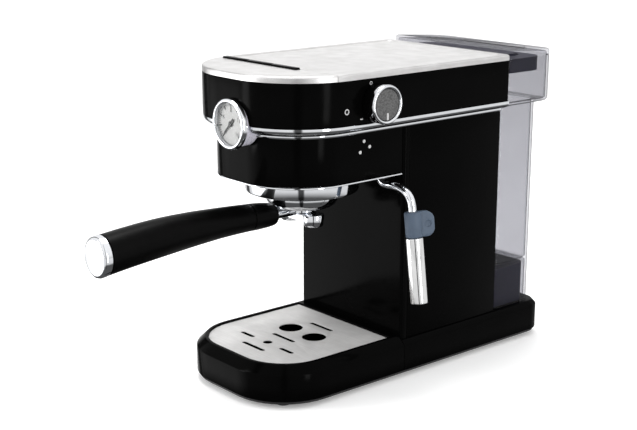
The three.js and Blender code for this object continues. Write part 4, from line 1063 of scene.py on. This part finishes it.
def side_ring(name, y, z, radius, inner):
    """A printed ring on the upper head's right-hand side."""
    side_mark(name, lathe([(inner, 0), (radius, 0), (radius, INK_DEPTH), (inner, INK_DEPTH), (inner, 0)],
                          "x", (HEAD_HALF, y, z), 32))


for i, (y, z) in enumerate(STEAM_DOTS):
    side_mark("steam_sign_dot_%d" % i, rod(1.4, 0, INK_DEPTH, "x", (LOWER_HALF, y, z), 32))
side_ring("water_sign_ring", -17, 236.5, 2.3, 1.5)
side_ring("steam_sign_ring", 7.7, 256.6, 1.4, 0.8)
side_mark("off_sign_dash", block(HEAD_HALF, HEAD_HALF + INK_DEPTH, -3.4, -0.6, 229.0, 229.7))


# ---------------- water tank

def tank_ring(half, rear, inset, z):
    return level(outline(half - inset, TANK_FRONT + inset, rear - inset, max(TANK_FRONT_CORNER - inset, 0.3),
                         max(TANK_CORNER - inset, 0.3), 16), z)


def slim(inset, z):
    return tank_ring(TANK_HALF, TANK_REAR, inset, z)


def wide(inset, z):
    return tank_ring(TANK_TOP_HALF, TANK_TOP_REAR, inset, z)


tank_bottom = DECK_TOP + GAP
step_top = TANK_STEP + TANK_WALL
tank_skin = loft([
    slim(TANK_WALL, TANK_FLOOR), slim(TANK_WALL, tank_bottom + 0.4), slim(TANK_WALL - 0.5, tank_bottom),
    slim(0.5, tank_bottom), slim(0, tank_bottom + 0.5), slim(0, TANK_STEP), wide(3.2, TANK_STEP + 0.1),
    wide(1.6, TANK_STEP + 0.7), wide(0.5, TANK_STEP + 1.9), wide(0, TANK_STEP + 3.5), wide(0, TANK_TOP - 0.4),
    wide(0.4, TANK_TOP), wide(TANK_WALL - 0.4, TANK_TOP), wide(TANK_WALL, TANK_TOP - 0.4),
    wide(TANK_WALL, TANK_STEP + 3.4), wide(TANK_WALL + 1.2, step_top), slim(TANK_WALL, step_top - 0.2),
    slim(TANK_WALL, TANK_FLOOR + TANK_WALL + 2), slim(TANK_WALL + 2, TANK_FLOOR + TANK_WALL),
])
piece("clear_water_tank", [tank_skin], TANK_PLASTIC, "water_tank")

lid_bottom = TANK_TOP + 0.5


def lid_height(drop):
    """The lid's slope toward the back, drop below its outside face."""
    return lambda y: LID_TOP - drop - LID_FALL * max(min((y - TANK_FRONT) / (TANK_TOP_REAR - TANK_FRONT), 1), 0)


lid_skin = loft([
    wide(TANK_WALL + 1, lid_height(TANK_WALL)), wide(TANK_WALL, lid_height(TANK_WALL + 1)),
    wide(TANK_WALL, lid_bottom), wide(0.3, lid_bottom), wide(0, lid_bottom + 0.4), wide(0, lid_height(1.4)),
    wide(0.4, lid_height(0.4)), wide(1.4, lid_height(0)),
])
piece("clear_tank_lid", [lid_skin], LID_PLASTIC, "tank_lid")


# ---------------- stage, light and camera

floor_reach = 6.0
floor_mesh = bpy.data.meshes.new("floor")
floor_mesh.from_pydata([(x * floor_reach, y * floor_reach, 0) for x, y in ((-1, -1), (1, -1), (1, 1), (-1, 1))], [],
                       [(0, 1, 2, 3)])
paper, tree, shader, place = material("pale_paper_floor", "#f4f4f4", 0.9, Emission_Strength=0.2,
                                      Specular_IOR_Level=0.0)
shader.inputs["Emission Color"].default_value = linear("#ffffff")
tinted(tree, shader, grain(tree, place, 40), "#f4f4f4", "#f8f8f8")
floor_mesh.materials.append(paper)
floor = placed("floor", floor_mesh)
floor.visible_glossy = False


# Softboxes that face the machine, in metres and watts.
for name, place, width, height, power in (
    ("softbox_above", (-0.3, 0.1, 1.7), 0.9, 0.9, 17),
    ("softbox_front_left", (-0.9, -1.5, 0.5), 0.35, 1.6, 14),
    ("softbox_right", (1.9, 0.0, 0.3), 0.3, 1.6, 12),
):
    softbox = bpy.data.lights.new(name, "AREA")
    softbox.shape = "RECTANGLE"
    softbox.size = width
    softbox.size_y = height
    softbox.energy = power
    light = placed(name, softbox)
    light.location = place
    light.rotation_euler = (Vector((0, 0, 0.14)) - Vector(place)).to_track_quat("-Z", "Y").to_euler()


def studio_world():
    """White paper all round, with narrow dark gaps and a darker strip of table in its reflections."""
    world = bpy.data.worlds.new("studio")
    bpy.context.scene.world = world
    world.use_nodes = True
    tree = world.node_tree
    tree.nodes.clear()
    place = add(tree, "ShaderNodeTexCoord")
    split = add(tree, "ShaderNodeSeparateXYZ", {0: place.outputs["Generated"]})
    ramp = add(tree, "ShaderNodeValToRGB", {"Fac": spread(tree, split.outputs["Z"], 0, 1, -1, 1)})
    stops = ramp.color_ramp.elements
    for stop, position, value in ((stops[0], 0.0, 0.1), (stops[1], 1.0, 1.2)):
        stop.position = position
        stop.color = (value, value, value, 1)
    for position, value in ((0.22, 0.1), (0.29, 0.85), (0.47, 1.0), (0.5, 0.7), (0.53, 0.9), (0.62, 1.1)):
        stops.new(position).color = (value, value, value, 1)
    shade = ramp.outputs[0]
    # Black flags: one behind the viewer and one on each side of the background draw dark lines in chrome and in
    # the tank's edges. Each is a direction, with how near to it the dark starts and is full.
    across = add(tree, "ShaderNodeCombineXYZ", {"X": split.outputs["X"], "Y": split.outputs["Y"]})
    flat = add(tree, "ShaderNodeVectorMath", {0: across.outputs[0]}, operation="NORMALIZE")
    for degrees, start, full in ((-41, 0.991, 0.997), (101, 0.985, 0.994), (178, 0.985, 0.994)):
        way = (math.cos(math.radians(degrees)), math.sin(math.radians(degrees)), 0)
        along = add(tree, "ShaderNodeVectorMath", {0: flat.outputs[0], 1: way}, operation="DOT_PRODUCT")
        dark = spread(tree, along.outputs["Value"], 1.0, 0.1, start, full)
        shade = scaled(tree, shade, dark)
    # A bright panel low on the front left.
    way = (math.cos(math.radians(-139)), math.sin(math.radians(-139)), -0.26)
    toward = add(tree, "ShaderNodeVectorMath", {0: place.outputs["Generated"], 1: way}, operation="DOT_PRODUCT")
    panel = spread(tree, toward.outputs["Value"], 1.0, 3.6, 0.93, 1.03)
    room = add(tree, "ShaderNodeBackground", {"Color": scaled(tree, shade, panel), "Strength": 0.95})
    paper = add(tree, "ShaderNodeBackground", {"Color": (1, 1, 1, 1), "Strength": 1.0})
    ray = add(tree, "ShaderNodeLightPath")
    mixed = add(tree, "ShaderNodeMixShader", {
        0: ray.outputs["Is Camera Ray"], 1: room.outputs[0], 2: paper.outputs[0],
    })
    add(tree, "ShaderNodeOutputWorld", {"Surface": mixed.outputs[0]})


studio_world()
bpy.context.scene.view_settings.view_transform = "Standard"

camera_data = bpy.data.cameras.new("camera")
camera_data.lens = 72.44
camera_data.sensor_width = 36
camera = placed("camera", camera_data)
camera.location = (Vector((798.21, -659.74, 405.79)) + GROUP) * MM
camera.rotation_euler = (math.radians(75.49), 0, math.radians(49.66))
bpy.context.scene.camera = camera

bpy.context.view_layer.update()
